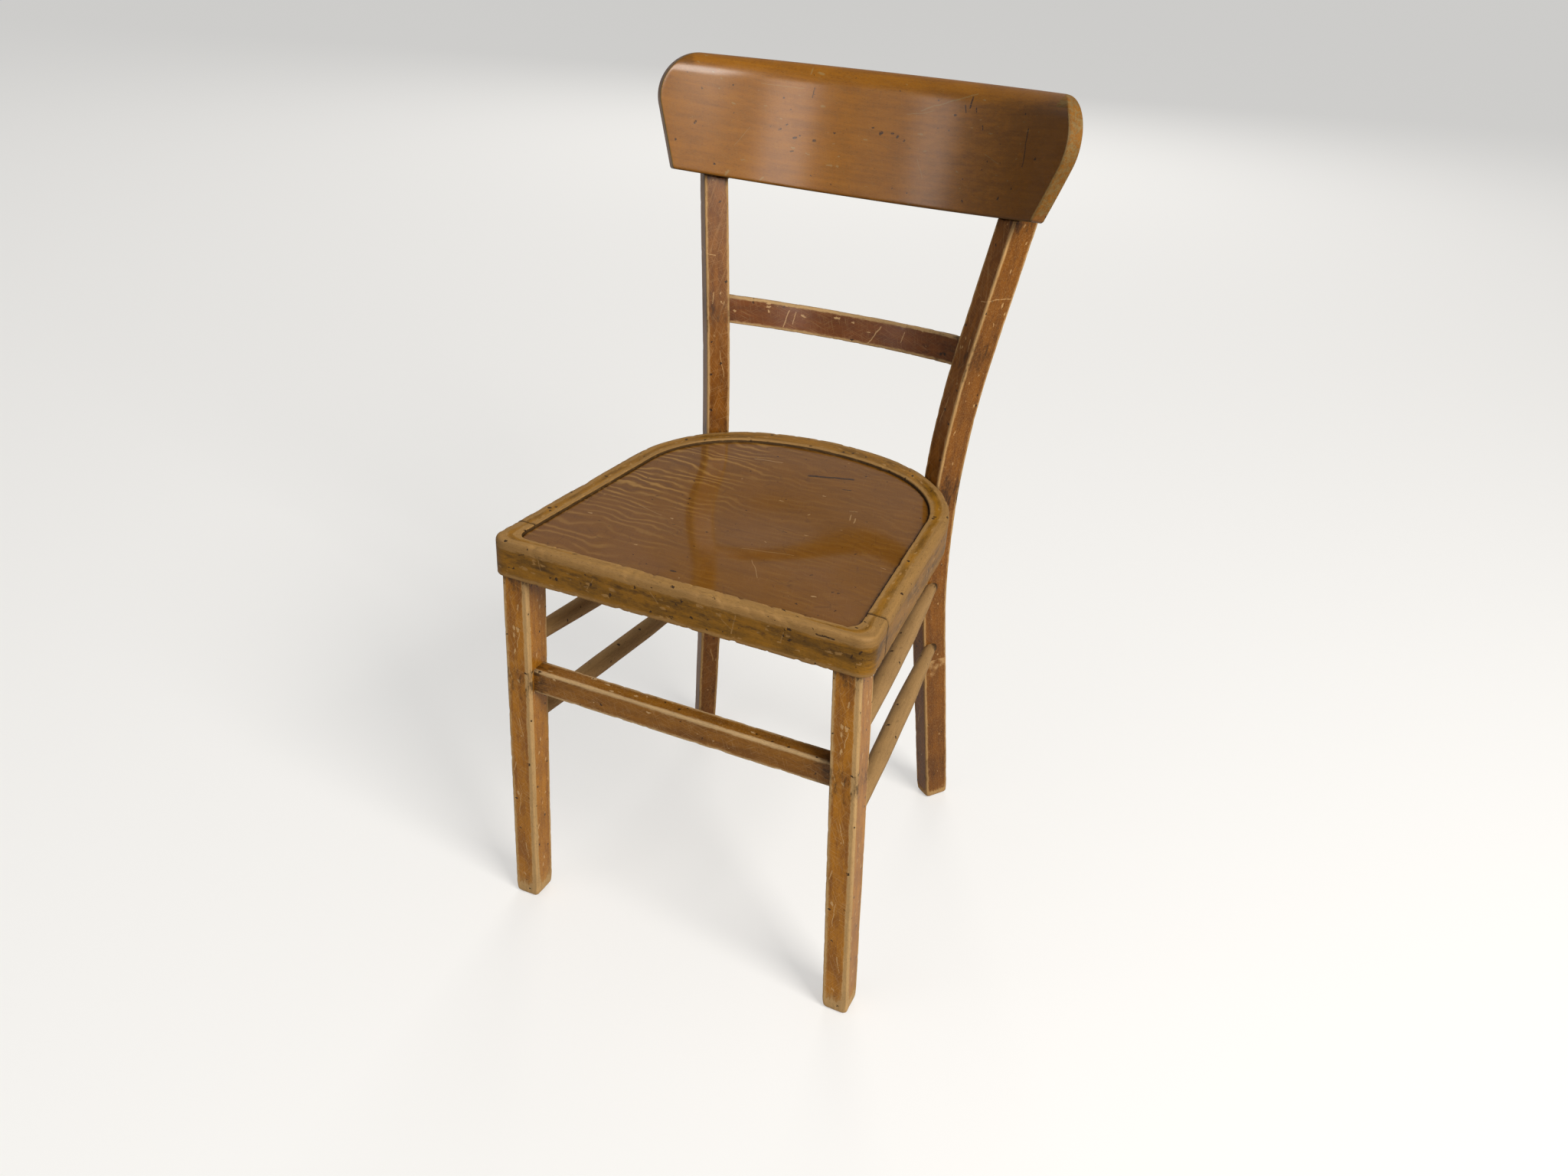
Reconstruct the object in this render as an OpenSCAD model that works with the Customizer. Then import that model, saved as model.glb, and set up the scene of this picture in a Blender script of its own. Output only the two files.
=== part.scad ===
// Worn varnished wooden chair with a bent seat hoop, a moulded plywood seat,
// swept back posts and a curved crest rail. It stands on the floor at z = 0,
// faces -Y, and its origin is under the middle of its length and width.

/* [Seat frame] */
// Height of the seat frame's top above the floor
seat_h = 460; // [380:1:560]
// Width of the seat frame, at its front
seat_w = 388; // [315:1:475]
// Depth of the seat frame, front to back
seat_d = 396; // [325:1:480]
// Height of the frame's section
frame_h = 40; // [33:0.5:50]
// Slope of the seat, down towards the back
seat_slope = 0.7; // [0:0.1:3]
// Angle by which each side runs inwards towards the back
side_taper = 3.6; // [1:0.1:5]
// Radius of the hoop's back bend
rear_r = 236; // [200:1:270]
// Radius of the hoop's two corner bends
corner_r = 154; // [128:1:185]
// Radius of the front rail's corners, seen from above
front_corner_r = 14; // [10:0.5:20]
// Round of the frame's outer top edge
top_round = 6; // [3:0.5:8]
// Round of the frame's outer bottom edge
bottom_round = 2; // [1:0.5:4]
// Length of the front rail's returns, from the front face to the seams
seam_y = 42; // [40:1:50]

/* [Seat panel] */
// Width of the frame's top at the sides, outside the panel
side_lip = 20.5; // [17:0.1:26]
// Width of the frame's top at the front
front_lip = 13; // [12:0.5:17]
// Width of the frame's top at the back
rear_lip = 30; // [24:0.5:36]
// Radius of the panel's back edge
panel_rear_r = 236; // [200:1:260]
// Radius of the panel's two corner bends
panel_bend_r = 122; // [100:1:150]
// Width of the ledge that carries the panel
ledge_w = 12; // [8:0.5:14]
// Radius of the panel's front corners
panel_corner_r = 13; // [8:0.5:16]
// Thickness of the moulded plywood
panel_t = 5; // [4:0.5:7]
// Depth of the panel's rim below the top of the frame
panel_recess = 3.5; // [2:0.5:5]
// Gap around the panel's edge
panel_gap = 0.4; // [0.2:0.1:0.8]
// Depth of the pressed dish
dish_depth = 7; // [4:0.5:9]
// Radius of the pressed dish
dish_r = 138; // [110:1:142]

/* [Front legs] */
// Width of a front leg, side to side
leg_w = 27; // [22:0.5:33]
// Depth of a front leg under the seat
leg_top_d = 34; // [30:0.5:36]
// Depth of a front leg at the floor
leg_foot_d = 30; // [24:0.5:34]
// Distance from the frame's side to the leg's outer face
leg_side_set = 10; // [7:0.5:13]
// Distance from the frame's front to the leg's front face
leg_front_set = 4; // [2:0.5:5]
// Outward slope of a leg, side to side over its length
leg_splay = 16.5; // [0:0.5:25]
// Backward slope of a leg's front face over its length
leg_lean = 12; // [0:0.5:16]
// Height of the bevel around each foot
foot_bevel_h = 4; // [2:0.5:6]
// Width of the bevel around each foot
foot_bevel_w = 2.5; // [1:0.5:4]
// Diameter of the leg's top tenon
leg_tenon_d = 18; // [14:0.5:19]
// Length of the leg's top tenon
leg_tenon_l = 20; // [14:1:24]

/* [Back posts] */
// Width of a post, across its front face
post_w = 26; // [21:0.5:32]
// Depth of a post
post_d = 31; // [25:0.5:38]
// Angle by which each post's front face is turned inwards
post_turn = 36.7; // [33:0.1:40]
// Place of the post around the hoop's corner bend
post_place = 47.5; // [45:0.1:51]
// Depth of the flat on the hoop that each post is set against
post_let_in = 1.2; // [0.8:0.1:3]
// Radius of the bend along the post's front edge
post_bend_r = 855; // [700:5:1100]
// Distance from the top of the seat frame down to the middle of that bend
post_bend_drop = 60; // [30:1:90]
// Backward slope of the straight lower end
post_kick = 9.4; // [6:0.1:12]
// Backward slope of the straight upper end
post_rake = 13.8; // [10:0.1:16]
// Inward set of the outer face at the floor
post_foot_in = 8; // [4:0.5:10]
// Narrowing of the post's front face at the floor
post_foot_narrow = 3; // [0:0.5:5]
// Distance from the crest rail's top down to the post's top
post_top_drop = 22; // [15:1:40]

/* [Crest rail] */
// Height of the crest rail's bottom edge where it crosses the posts
crest_z = 728.5; // [690:1:860]
// Height of the crest rail's face at its middle
crest_h = 127; // [110:1:155]
// Thickness of the crest rail
crest_t = 17; // [14:0.5:20]
// Radius of the crest rail's hollow front face
crest_r = 275; // [250:1:330]
// Backward slope of the crest rail and the back slat
back_lean = 13.9; // [10:0.1:16]
// Slope of the crest rail's top, which makes its ends lower
crest_top_tilt = 8; // [5:0.1:11]
// Half width of the crest rail's face along its bottom edge
crest_bottom_half = 193; // [185:1:215]
// Half width of the crest rail's face at its widest
crest_half = 214; // [200:1:235]
// Angle at which the crest rail's ends are sawn off, from straight back
crest_end_face = 39; // [20:1:45]
// Radius of the crest rail's top corners
crest_corner_r = 42; // [20:1:50]
// Radius of the roll along the crest rail's top
crest_roll = 15; // [8:0.5:16]
// Depth by which the crest rail is let into the posts
crest_let_in = 6; // [4:0.5:8]

/* [Back slat] */
// Height of the slat's middle where it meets the posts
slat_z = 590; // [560:1:640]
// Height of the slat's face
slat_h = 30.7; // [24:0.1:40]
// Thickness of the slat
slat_t = 11; // [9:0.5:13]
// Radius of the slat's hollow front face
slat_r = 215; // [200:1:260]
// Depth from the post's front to the slat's middle
slat_back = 13; // [10:0.5:20]
// Length of the slat inside each post
slat_tenon = 12; // [8:0.5:16]

/* [Stretchers] */
// Height of the front stretcher's top edge
front_stretcher_z = 311; // [280:1:330]
// Height of the front stretcher's section
front_stretcher_h = 27; // [22:0.5:32]
// Depth of the front stretcher's section
front_stretcher_d = 18.5; // [14:0.5:20]
// Distance from the leg's front face to the front stretcher
front_stretcher_set = 7.7; // [5:0.1:10]
// Depth of the front stretcher's tenon
stretcher_tenon_d = 10; // [8:0.5:12]
// Height of the front stretcher's tenon
stretcher_tenon_h = 20; // [14:0.5:22]
// Length of the front stretcher's tenon
stretcher_tenon_l = 18; // [12:0.5:20]
// Height of the upper side stretcher at the front leg
upper_front_z = 337; // [325:1:350]
// Height of the upper side stretcher at the back post
upper_back_z = 323; // [310:1:350]
// Height of the lower side stretcher at the front leg
lower_front_z = 241; // [215:1:255]
// Height of the lower side stretcher at the back post
lower_back_z = 238; // [215:1:255]
// Largest diameter of a side stretcher
rod_d = 20.5; // [17:0.5:25]
// Diameter of a side stretcher in the front leg
rod_front_d = 18; // [14:0.5:19]
// Diameter of a side stretcher in the back post
rod_back_d = 14; // [11:0.5:16]
// Length of a side stretcher inside the front leg
rod_front_in = 16; // [12:0.5:20]
// Length of a side stretcher inside the back post
rod_back_in = 18; // [12:0.5:20]
// Depth from the post's front edge to the point where a rod enters
rod_back_set = 7.5; // [6:0.5:12]

/* [Screws and fits] */
// Diameter of a screw's shank
screw_d = 5; // [4:0.5:6]
// Diameter of a screw's head
screw_head_d = 10; // [8:0.5:11]
// Height of a screw's head
screw_head_h = 3.5; // [3:0.5:4]
// Length of the screws that hold the posts to the hoop
hoop_screw_l = 50; // [40:1:52]
// Length of the screws that hold the crest rail to the posts
crest_screw_l = 36; // [32:1:37]
// Clearance on each side of a joint
fit_gap = 0.1; // [0.05:0.05:0.3]

/* [Hidden] */

$fn = 96;
reach = 1200;
arc_step = 4;
bend_step = 1.5;
dish_steps = 12;
overlap = 0.01;

beech = [0.62, 0.38, 0.14];
beech_dark = [0.50, 0.29, 0.10];
veneer = [0.46, 0.31, 0.15];
steel = [0.55, 0.54, 0.52];

// Frame of the seat, in plan
frame_z = seat_h - frame_h;
ledge_z = seat_h - panel_recess - panel_t;
seat_half = seat_w / 2;

// Plan outlines are [half width at y = 0, front y, front corner radius, back y, back radius, corner radius]
outer_plan = [seat_half, 0, front_corner_r, seat_d, rear_r, corner_r];
recess_plan = [seat_half - side_lip, front_lip, panel_corner_r, seat_d - rear_lip,
    panel_rear_r, panel_bend_r];
panel_plan = inset_plan(recess_plan, panel_gap);
opening_plan = inset_plan(recess_plan, ledge_w);

outer_corner = corner_centre(outer_plan);

// Back post, in its own directions: across = side to side, back = front to rear
post_bend_z = seat_h - post_bend_drop;
post_across = [cos(post_turn), -sin(post_turn)];
post_back = [sin(post_turn), cos(post_turn)];
post_foot = outer_corner + corner_r * [cos(post_place), sin(post_place)] - post_let_in * post_back;
kick_z = post_bend_z - post_bend_r * sin(post_kick);
rake_z = post_bend_z + post_bend_r * sin(post_rake);
bend_depth_low = post_bend_r * (1 - cos(post_kick));
bend_depth_high = post_bend_r * (1 - cos(post_rake));

// Crest rail, from the point where it crosses the post
crest_seat = post_foot + (post_front(crest_z) + crest_let_in) * post_back;
crest_turn = asin(crest_seat[0] / (crest_r + crest_t));
crest_sag = crest_r - (crest_r + crest_t) * cos(crest_turn);
crest_mid_y = crest_seat[1] + crest_sag * cos(back_lean);
crest_mid_z = crest_z - crest_sag * sin(back_lean);
crest_end_turn = asin(crest_half / crest_r);
crest_bottom_turn = asin(crest_bottom_half / crest_r);
crest_sweep = crest_end_turn + 6;
crest_corner_sag = crest_r * (1 - cos(crest_end_turn)) - crest_corner_r * sin(crest_end_face);
crest_wide_h = crest_h - (crest_corner_sag - crest_t) * tan(crest_top_tilt) - crest_corner_r;
crest_post_h = crest_h - crest_sag * tan(crest_top_tilt) - post_top_drop;
post_top_z = crest_mid_z + crest_post_h * cos(back_lean) + crest_sag * sin(back_lean);

// Back slat, from the middle of the post's inner face
slat_seat = post_foot - post_w / 2 * post_across + (post_front(slat_z) + slat_back) * post_back;
slat_mid_r = slat_r + slat_t / 2;
slat_turn = asin(slat_seat[0] / slat_mid_r);
slat_sag = slat_r - slat_mid_r * cos(slat_turn);
slat_mid_y = slat_seat[1] + slat_sag * cos(back_lean) - slat_h / 2 * sin(back_lean);
slat_mid_z = slat_z - slat_sag * sin(back_lean) - slat_h / 2 * cos(back_lean);
slat_sweep = slat_turn + slat_tenon / slat_mid_r * 180 / PI;

// Front legs, in plan
leg_out_x = seat_half - leg_side_set;
leg_mid_x = leg_out_x - leg_w / 2;
leg_mid_y = leg_front_set + leg_top_d / 2;

// The chair's depth runs from the front rail's face to the crest rail's top back edge
chair_d = crest_mid_y + crest_h * sin(back_lean)
    + crest_t / cos(crest_top_tilt) * cos(back_lean - crest_top_tilt);

// Screws
hoop_screw_head_y = -27;
post_frame_z = frame_z - outer_corner[1] * sin(seat_slope);
hoop_screw_z = [post_frame_z + 7, post_frame_z + 22];
crest_screw_h = [0.24 * crest_h, 0.6 * crest_h];
crest_screw_head_r = crest_r + crest_t + crest_screw_l - 13;

// Tongue that joins the hoop to the front rail's return
tongue_w = 8;
tongue_h = 22;
tongue_l = seam_y - leg_mid_y - leg_tenon_d / 2 - 2;
tongue_x = seat_half - (side_lip + ledge_w) / 2 - 2;
tongue_z = frame_z + 7;

// ---- Plan outlines ----

function side_normal() = [cos(side_taper), sin(side_taper)];
function side_line() = [-sin(side_taper), cos(side_taper)];
function back_centre(plan) = [0, plan[3] - plan[4]];
function corner_start(plan) = (plan[0] * cos(side_taper) - plan[5]) * side_normal();
function corner_run(plan, from) =
    let (b = side_line() * from, c = from * from - pow(plan[4] - plan[5], 2))
    sqrt(b * b - c) - b;
function corner_centre(plan) =
    corner_start(plan) + corner_run(plan, corner_start(plan) - back_centre(plan)) * side_line();
function join_angle(plan) =
    let (d = corner_centre(plan) - back_centre(plan)) atan2(d[1], d[0]);
function front_centre(plan) =
    let (y = plan[1] + plan[2])
    [(plan[0] * cos(side_taper) - plan[2] - y * sin(side_taper)) / cos(side_taper), y];
function inset_plan(plan, by) = [plan[0] - by / cos(side_taper), plan[1] + by,
    max(plan[2] - by, 1), plan[3] - by, plan[4] - by, plan[5] - by];

function arc(centre, r, from, to, step) =
    let (steps = ceil(abs(to - from) / step))
    [for (i = [0 : steps]) centre + r * [cos(from + (to - from) * i / steps),
                                         sin(from + (to - from) * i / steps)]];

function half_outline(plan) = concat(
    arc(front_centre(plan), plan[2], -90, side_taper, 4 * arc_step),
    arc(corner_centre(plan), plan[5], side_taper, join_angle(plan), arc_step),
    arc(back_centre(plan), plan[4], join_angle(plan), 90, arc_step));
function mirrored(points) = [for (i = [len(points) - 2 : -1 : 0]) [-points[i][0], points[i][1]]];
function outline(plan) = let (half = half_outline(plan)) concat(half, mirrored(half));

// ---- Lines of the posts and legs ----

// Distance of the post's front edge behind its foremost line, at a height
function post_front(z) =
    z < kick_z ? bend_depth_low + (kick_z - z) * tan(post_kick) :
    z > rake_z ? bend_depth_high + (z - rake_z) * tan(post_rake) :
    post_bend_r - sqrt(pow(post_bend_r, 2) - pow(z - post_bend_z, 2));

// Point on the post's front or rear line, whose distance from the bend's centre is r
function post_line(r, angle) = [post_bend_r - r * cos(angle), post_bend_z + r * sin(angle)];
function post_end(r, angle, z) =
    let (from = post_line(r, angle)) [from[0] + (z - from[1]) * tan(angle), z];

function leg_outer(z) = leg_out_x + leg_splay * (1 - z / frame_z);
function leg_front(z) = leg_front_set + leg_lean * (1 - z / frame_z);
function leg_rear(z) = leg_front(z) + leg_foot_d + (leg_top_d - leg_foot_d) * z / frame_z;

// Ends of a side stretcher, where it enters the leg and the post
function rod_leg_point(z) = [leg_outer(z) - leg_w / 2, leg_rear(z), z];
function rod_post_point(z) =
    let (in = post_foot_in * (1 - z / post_bend_z),
         p = post_foot + (post_w / 2 - in) * post_across + (post_front(z) + rod_back_set) * post_back)
    [p[0], p[1], z];

// ---- Frames of reference ----

module centred() {
    translate([0, -chair_d / 2, 0]) children();
}

module both_sides() {
    children();
    mirror([1, 0, 0]) children();
}

// Turns the seat frame and panel about the frame's lower front edge
module seat_level() {
    translate([0, 0, frame_z]) rotate([-seat_slope, 0, 0]) translate([0, 0, -frame_z]) children();
}

module post_frame() {
    translate([post_foot[0], post_foot[1], 0]) rotate([0, 0, -post_turn]) children();
}

// Origin on the axis of a bent rail, z up its face, y towards the back of its middle
module bent_frame(mid_y, mid_z, r) {
    translate([0, mid_y, mid_z]) rotate([-back_lean, 0, 0]) translate([0, -r, 0]) children();
}

// Places children with their z axis along the line from one point to another
module along(from, to) {
    d = to - from;
    translate(from) rotate([0, acos(d[2] / norm(d)), atan2(d[1], d[0])]) children();
}

// ---- Seat ----

// One layer of the frame's outer body, set in from the outline
module frame_layer(by, from, to) {
    translate([0, 0, frame_z + from]) linear_extrude(to - from) polygon(outline(inset_plan(outer_plan, by)));
}

// Outer body of the frame, with a rounded top edge and a bevelled bottom edge
module frame_body() {
    round_in = top_round * (1 - cos(45));
    hull() {
        frame_layer(0, bottom_round, frame_h - top_round);
        frame_layer(round_in, frame_h / 2, frame_h - round_in);
        frame_layer(top_round, frame_h / 2, frame_h);
        frame_layer(bottom_round, 0, frame_h / 2);
    }
}

module frame_ring() {
    difference() {
        frame_body();
        translate([0, 0, ledge_z]) linear_extrude(frame_h) polygon(outline(recess_plan));
        translate([0, 0, frame_z - 1]) linear_extrude(frame_h) polygon(outline(opening_plan));
    }
}

module behind_seam() {
    translate([-reach / 2, seam_y, 0]) cube([reach, reach, reach]);
}

module tongue(gap) {
    translate([tongue_x - tongue_w / 2 - gap, seam_y - tongue_l - gap, tongue_z - gap])
        cube([tongue_w + 2 * gap, tongue_l + gap + 1, tongue_h + 2 * gap]);
}

module leg_tenon(gap) {
    translate([leg_mid_x, leg_mid_y, frame_z - 1])
        cylinder(d = leg_tenon_d + 2 * gap, h = leg_tenon_l + 1 + gap);
}

module front_rail() {
    color(beech) centred() seat_level() difference() {
        frame_ring();
        behind_seam();
        both_sides() leg_tenon(fit_gap);
        both_sides() tongue(fit_gap);
    }
}

module seat_hoop() {
    color(beech) centred() difference() {
        seat_level() {
            intersection() {
                frame_ring();
                behind_seam();
            }
            both_sides() tongue(0);
        }
        both_sides() post_frame() post_blank();
        both_sides() hoop_screw_pair(fit_gap);
    }
}

// Depth of the pressed dish below the rim, at a share of its radius
function dish_drop(share) = dish_depth * (1 + cos(180 * share)) / 2;
function dish_line(z, from, to) =
    [for (i = [0 : dish_steps]) let (share = from + (to - from) * i / dish_steps)
        [share * dish_r, z - dish_drop(share)]];

module seat_panel() {
    dish_y = (panel_plan[1] + panel_plan[3]) / 2;
    color(veneer) centred() seat_level() translate([0, 0, ledge_z]) {
        linear_extrude(panel_t) difference() {
            polygon(outline(panel_plan));
            translate([0, dish_y]) circle(r = dish_r);
        }
        translate([0, dish_y, 0]) rotate_extrude() polygon(concat(
            dish_line(0, 0, 1),
            [[dish_r + overlap, 0], [dish_r + overlap, panel_t]],
            dish_line(panel_t, 1, 0)));
    }
}

// ---- Legs and posts ----

// Outline of a leg's side or front, with a bevelled foot
module leg_profile(foot_from, foot_to, top_from, top_to, top_z) {
    slope_from = (top_from - foot_from) / top_z * foot_bevel_h;
    slope_to = (top_to - foot_to) / top_z * foot_bevel_h;
    polygon([
        [foot_from + foot_bevel_w, 0], [foot_to - foot_bevel_w, 0],
        [foot_to + slope_to, foot_bevel_h], [top_to, top_z],
        [top_from, top_z], [foot_from + slope_from, foot_bevel_h]]);
}

module front_leg() {
    difference() {
        union() {
            difference() {
                intersection() {
                    rotate([90, 0, 0]) translate([0, 0, -reach / 2]) linear_extrude(reach)
                        leg_profile(leg_outer(0) - leg_w, leg_outer(0), leg_out_x - leg_w, leg_out_x, frame_z);
                    rotate([90, 0, 90]) linear_extrude(reach)
                        leg_profile(leg_front(0), leg_rear(0), leg_front(frame_z), leg_rear(frame_z), frame_z);
                }
                seat_level() translate([0, 0, frame_z]) cube(seat_d);
            }
            seat_level() leg_tenon(0);
        }
        front_stretcher_bar(fit_gap);
        rod(upper_front_z, upper_back_z, fit_gap);
        rod(lower_front_z, lower_back_z, fit_gap);
    }
}

module front_leg_left() {
    color(beech) centred() mirror([1, 0, 0]) front_leg();
}

module front_leg_right() {
    color(beech) centred() front_leg();
}

// Side of a post: a straight foot, a bend and a straight top
module post_side() {
    front = post_bend_r;
    rear = post_bend_r - post_d;
    centre = [post_bend_r, post_bend_z];
    polygon(concat(
        [post_end(front, -post_kick, foot_bevel_h)],
        arc(centre, front, 180 + post_kick, 180 - post_rake, bend_step),
        [post_end(front, post_rake, post_top_z), post_end(rear, post_rake, post_top_z)],
        arc(centre, rear, 180 - post_rake, 180 + post_kick, bend_step),
        [post_end(rear, -post_kick, foot_bevel_h),
         post_end(rear, -post_kick, 0) - [foot_bevel_w, 0],
         post_end(front, -post_kick, 0) + [foot_bevel_w, 0]]));
}

// Post in its own frame, before its joints are cut
module post_blank() {
    outer_foot = post_w / 2 - post_foot_in;
    inner_foot = outer_foot - post_w + post_foot_narrow;
    intersection() {
        rotate([90, 0, 90]) translate([0, 0, -post_w]) linear_extrude(2 * post_w) post_side();
        rotate([90, 0, 0]) translate([0, 0, -reach / 2]) linear_extrude(reach) polygon([
            [inner_foot + foot_bevel_w, 0], [outer_foot - foot_bevel_w, 0],
            [outer_foot, foot_bevel_h], [post_w / 2, post_bend_z], [post_w / 2, post_top_z],
            [-post_w / 2, post_top_z], [-post_w / 2, post_bend_z], [inner_foot, foot_bevel_h]]);
    }
}

module back_post() {
    difference() {
        post_frame() post_blank();
        crest_space();
        slat_bar(fit_gap);
        rod(upper_front_z, upper_back_z, fit_gap);
        rod(lower_front_z, lower_back_z, fit_gap);
        hoop_screw_pair(fit_gap);
        crest_screw_pair(fit_gap);
    }
}

module back_post_left() {
    color(beech) centred() mirror([1, 0, 0]) back_post();
}

module back_post_right() {
    color(beech) centred() back_post();
}

// ---- Back ----

module crest_frame() {
    bent_frame(crest_mid_y, crest_mid_z, crest_r) children();
}

// Everything that the crest rail's back face stands in front of
module crest_space() {
    crest_frame() rotate_extrude(start = 90 - crest_sweep, angle = 2 * crest_sweep)
        translate([crest_r - 40, 0]) square([40 + crest_t + fit_gap, crest_h + 40]);
}

// Area outside the right end, seen along its sawn face, with 0 at the widest place
module crest_end_waste() {
    wide = crest_r * sin(crest_end_turn - crest_end_face);
    corner = [crest_r * sin(crest_bottom_turn - crest_end_face) - wide, 0];
    centre = [-crest_corner_r, crest_wide_h];
    down = corner - centre;
    touch = atan2(down[1], down[0]) + acos(crest_corner_r / norm(down));
    side = centre + crest_corner_r * [cos(touch), sin(touch)];
    below = corner + (corner - side) / 4;
    far = 3 * crest_h;
    polygon(concat(
        [below],
        arc(centre, crest_corner_r, touch, 90, 2 * arc_step),
        [[centre[0], far], [far, far], [far, below[1]]]));
}

module crest_end_cut() {
    rotate([0, 0, -crest_end_face]) translate([crest_r * sin(crest_end_turn - crest_end_face), 0, 0])
        rotate([90, 0, 180]) mirror([1, 0, 0]) linear_extrude(crest_r + 3 * crest_t) crest_end_waste();
}

// Revolved block whose top is rolled over towards the back
module crest_roll_block() {
    tan_tilt = tan(crest_top_tilt + 2);
    translate([0, crest_r, crest_h]) rotate([crest_top_tilt, 0, 0]) translate([0, -crest_r, 0])
        rotate_extrude(start = 90 - crest_sweep - 2, angle = 2 * crest_sweep + 4)
            polygon(concat(
                [[crest_r - 2 * crest_h * tan_tilt, -2 * crest_h]],
                arc([crest_r + crest_roll, -crest_roll], crest_roll, 180, 90, 4 * arc_step),
                [[crest_r + 3 * crest_t, 0], [crest_r + 3 * crest_t, -2 * crest_h]]));
}

module crest_rail() {
    color(beech) centred() difference() {
        crest_frame() difference() {
            intersection() {
                rotate_extrude(start = 90 - crest_sweep, angle = 2 * crest_sweep)
                    translate([crest_r, 0]) square([crest_t, crest_h + 20]);
                crest_roll_block();
            }
            both_sides() crest_end_cut();
        }
        both_sides() crest_screw_pair(fit_gap);
    }
}

module slat_bar(gap) {
    gap_turn = gap / slat_mid_r * 180 / PI;
    bent_frame(slat_mid_y, slat_mid_z, slat_r)
        rotate_extrude(start = 90 - slat_sweep - gap_turn, angle = 2 * (slat_sweep + gap_turn))
            translate([slat_r - gap, -gap]) square([slat_t + 2 * gap, slat_h + 2 * gap]);
}

module back_slat() {
    color(beech_dark) centred() slat_bar(0);
}

// ---- Stretchers ----

module front_stretcher_bar(gap) {
    mid_z = front_stretcher_z - front_stretcher_h / 2;
    mid_y = leg_front(mid_z) + front_stretcher_set + front_stretcher_d / 2;
    inner_top = leg_outer(front_stretcher_z) - leg_w;
    inner_bottom = leg_outer(front_stretcher_z - front_stretcher_h) - leg_w;
    tenon_half = leg_outer(mid_z) - leg_w + stretcher_tenon_l;
    if (gap == 0)
        translate([0, mid_y + front_stretcher_d / 2, 0]) rotate([90, 0, 0])
            linear_extrude(front_stretcher_d) polygon([
                [-inner_bottom, front_stretcher_z - front_stretcher_h],
                [inner_bottom, front_stretcher_z - front_stretcher_h],
                [inner_top, front_stretcher_z], [-inner_top, front_stretcher_z]]);
    translate([-tenon_half - gap, mid_y - stretcher_tenon_d / 2 - gap, mid_z - stretcher_tenon_h / 2 - gap])
        cube([2 * (tenon_half + gap), stretcher_tenon_d + 2 * gap, stretcher_tenon_h + 2 * gap]);
}

module front_stretcher() {
    color(beech_dark) centred() front_stretcher_bar(0);
}

// Turned side stretcher, thickest before its middle and thinnest in the post
module rod(front_z, back_z, gap) {
    leg_point = rod_leg_point(front_z);
    post_point = rod_post_point(back_z);
    span = norm(post_point - leg_point);
    along(leg_point, post_point) rotate_extrude() polygon([
        [0, -rod_front_in - gap], [rod_front_d / 2 + gap, -rod_front_in - gap],
        [rod_front_d / 2 + gap, 0.04 * span], [rod_d / 2 + gap, 0.3 * span],
        [rod_d / 2 + gap, 0.62 * span], [rod_back_d / 2 + 1 + gap, 0.9 * span],
        [rod_back_d / 2 + gap, 0.95 * span], [rod_back_d / 2 + gap, span + rod_back_in + gap],
        [0, span + rod_back_in + gap]]);
}

module side_stretcher_upper_left() {
    color(beech_dark) centred() mirror([1, 0, 0]) rod(upper_front_z, upper_back_z, 0);
}

module side_stretcher_upper_right() {
    color(beech_dark) centred() rod(upper_front_z, upper_back_z, 0);
}

module side_stretcher_lower_left() {
    color(beech_dark) centred() mirror([1, 0, 0]) rod(lower_front_z, lower_back_z, 0);
}

module side_stretcher_lower_right() {
    color(beech_dark) centred() rod(lower_front_z, lower_back_z, 0);
}

// ---- Screws ----

// Screw along +z from its head, or the hole for it when there is a gap
module screw(length, gap) {
    translate([0, 0, gap > 0 ? -reach / 20 : -screw_head_h])
        cylinder(d = screw_head_d + 2 * gap, h = gap > 0 ? reach / 20 : screw_head_h);
    translate([0, 0, -overlap]) cylinder(d = screw_d + 2 * gap, h = length + overlap + gap);
}

module hoop_screw_pair(gap) {
    for (z = hoop_screw_z)
        post_frame() translate([0, hoop_screw_head_y, z]) rotate([-90, 0, 0]) screw(hoop_screw_l, gap);
}

module crest_screw_pair(gap) {
    for (h = crest_screw_h)
        crest_frame() rotate([0, 0, -crest_turn]) translate([0, crest_screw_head_r, h])
            rotate([90, 0, 0]) screw(crest_screw_l, gap);
}

module hoop_screws() {
    color(steel) centred() both_sides() hoop_screw_pair(0);
}

module crest_screws() {
    color(steel) centred() both_sides() crest_screw_pair(0);
}

front_rail();
seat_hoop();
seat_panel();
front_leg_left();
front_leg_right();
back_post_left();
back_post_right();
crest_rail();
back_slat();
front_stretcher();
side_stretcher_upper_left();
side_stretcher_upper_right();
side_stretcher_lower_left();
side_stretcher_lower_right();
hoop_screws();
crest_screws();
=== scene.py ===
import math
import bpy
import numpy as np
from bpy.props import FloatProperty, FloatVectorProperty, PointerProperty
from mathutils import Matrix, Vector, noise


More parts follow.
